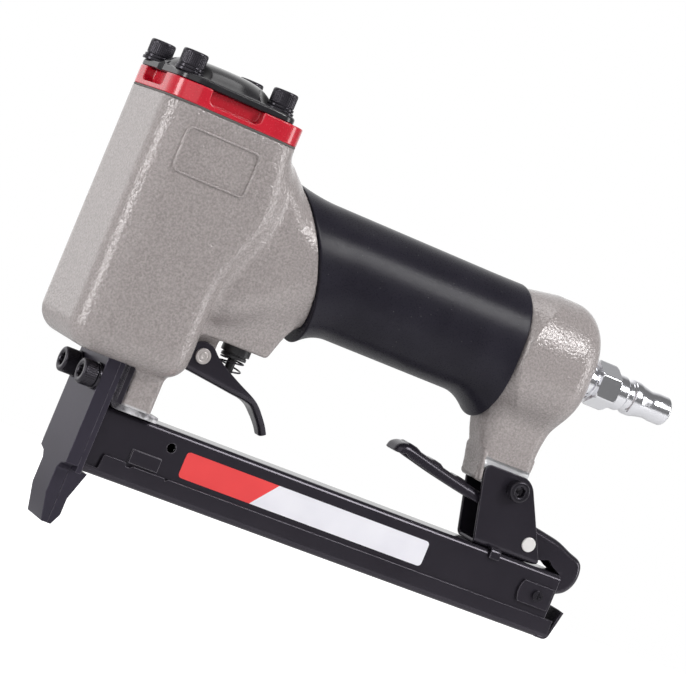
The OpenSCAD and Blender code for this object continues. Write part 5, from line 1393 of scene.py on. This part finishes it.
cameraForm = {
    "eye": (-339.8, -875.9, 114.3), "aim": (76.76, 0.0, 89.0), "roll": 22.74, "focal": 2905.4, "frame": 686,
    "sensor": 36.0, "clip": (0.05, 20),
}


# links a camera or lamp into the scene, with its own X, Y, Z and place as the columns of its matrix
def placeThing(name, data, *columns):
    thing = bpy.data.objects.new(name, data)
    bpy.context.scene.collection.objects.link(thing)
    turn = np.eye(4)
    turn[:3] = np.stack(columns, -1)
    thing.matrix_world = Matrix(turn.tolist())
    return thing


# forward runs from the eye to the aim; right and up are turned about it by the roll
def makeCamera():
    c = cameraForm
    eye, aim = np.array(c["eye"]), np.array(c["aim"])
    forward = unit(aim - eye)
    right = unit(np.cross(forward, zAxis))
    up = np.cross(right, forward)
    roll = math.radians(c["roll"])
    across = math.cos(roll) * right + math.sin(roll) * up
    upright = math.cos(roll) * up - math.sin(roll) * right
    lens = bpy.data.cameras.new("camera")
    lens.sensor_fit = "HORIZONTAL"
    lens.sensor_width = c["sensor"]
    lens.lens = c["focal"] / c["frame"] * c["sensor"]
    lens.clip_start, lens.clip_end = c["clip"]
    bpy.context.scene.camera = placeThing("camera", lens, across, upright, -forward, eye * mm)


makeCamera()

lampMiddle = np.array((76.0, 0.0, 95.0))
lampForms = {
    "keyBox": {"from": (0.47, -0.68, 0.55), "far": 1.0, "size": (0.3, 0.4), "light": 14.0},
    "fillBox": {"from": (-0.5, -0.75, 0.42), "far": 1.1, "size": (1.3, 1.0), "light": 0.85},
    "leftBox": {"from": (-1.0, -0.07, 0.12), "far": 1.1, "size": (0.28, 0.8), "light": 8.0},
    "rightBox": {"from": (0.94, -0.34, 0.15), "far": 1.1, "size": (0.28, 0.6), "light": 5.0},
    "bounceBox": {"from": (-0.3, -0.6, -0.75), "far": 1.1, "size": (0.9, 0.9), "light": 0.6},
    "topBox": {"from": (0.0, 0.15, 1.0), "far": 1.1, "size": (0.8, 0.5), "light": 2.2},
}


# a flat lamp of given radiance: power is radiance times pi times its area
def makeLamp(name, form):
    lamp = bpy.data.lights.new(name, "AREA")
    lamp.shape = "RECTANGLE"
    lamp.size, lamp.size_y = form["size"]
    lamp.energy = form["light"] * math.pi * form["size"][0] * form["size"][1]
    away = unit(form["from"])
    side = unit(np.cross(zAxis, away)) if abs(away[2]) < 0.98 else xAxis
    placeThing(name, lamp, side, np.cross(away, side), away, lampMiddle * mm + away * form["far"])


for name, form in lampForms.items():
    makeLamp(name, form)

worldForm = {"back": 1.15, "front": 0.2, "between": (0.3, 0.9)}


# white to the camera; other rays see a room that is bright behind the part and dim in front of it
def makeWorld():
    world = bpy.data.worlds.new("studio")
    bpy.context.scene.world = world
    world.use_nodes = True
    tree = world.node_tree
    tree.nodes.clear()
    spot = addNode(tree, "TexCoord").outputs["Generated"]
    deep = addNode(tree, "SeparateXYZ", {"Vector": spot}).outputs["Y"]
    level = spread(tree, deep, worldForm["front"], worldForm["back"], *worldForm["between"])
    lit = lambda s: addNode(tree, "Background", {"Color": (1, 1, 1), "Strength": s}).outputs["Background"]
    seen = addNode(tree, "LightPath").outputs["Is Camera Ray"]
    pick = addNode(tree, "MixShader", {0: seen, 1: lit(level), 2: lit(1.0)}).outputs["Shader"]
    addNode(tree, "OutputWorld", {"Surface": pick})


makeWorld()

floorForm = {
    "height": -130.0, "half": 1500.0, "middle": (76.0, 0.0), "rows": 12, "camera": 0.97,
    "paper": (0.78, 0.78, 0.78), "roughness": 0.85,
}


# flat ground, pale and matt; part of its white is given to camera rays so that it meets the backdrop
def makeFloor():
    f = floorForm
    line = np.linspace(-f["half"], f["half"], f["rows"])
    x, y = np.meshgrid(line + f["middle"][0], line + f["middle"][1], indexing="ij")
    grid = np.stack([x, y, np.full_like(x, f["height"])], -1)
    floor = makePiece("studioFloor", grid, gridFaces(f["rows"], f["rows"], wrapColumns=False))
    finish, tree, _ = newFinish("studioFloorPaper", f["paper"], f["roughness"])
    level = addMath(tree, "MULTIPLY", addNode(tree, "LightPath").outputs["Is Camera Ray"], f["camera"])
    glow = addNode(tree, "Emission", {"Color": (1, 1, 1), "Strength": level}).outputs["Emission"]
    both = addNode(tree, "AddShader", {0: tree.nodes["Principled BSDF"].outputs["BSDF"], 1: glow})
    feed(tree, tree.nodes["Material Output"].inputs["Surface"], both.outputs["Shader"])
    floor.data.materials.append(finish)


makeFloor()
bpy.context.scene.view_settings.view_transform = "Standard"
print("camera, lamps and floor set")
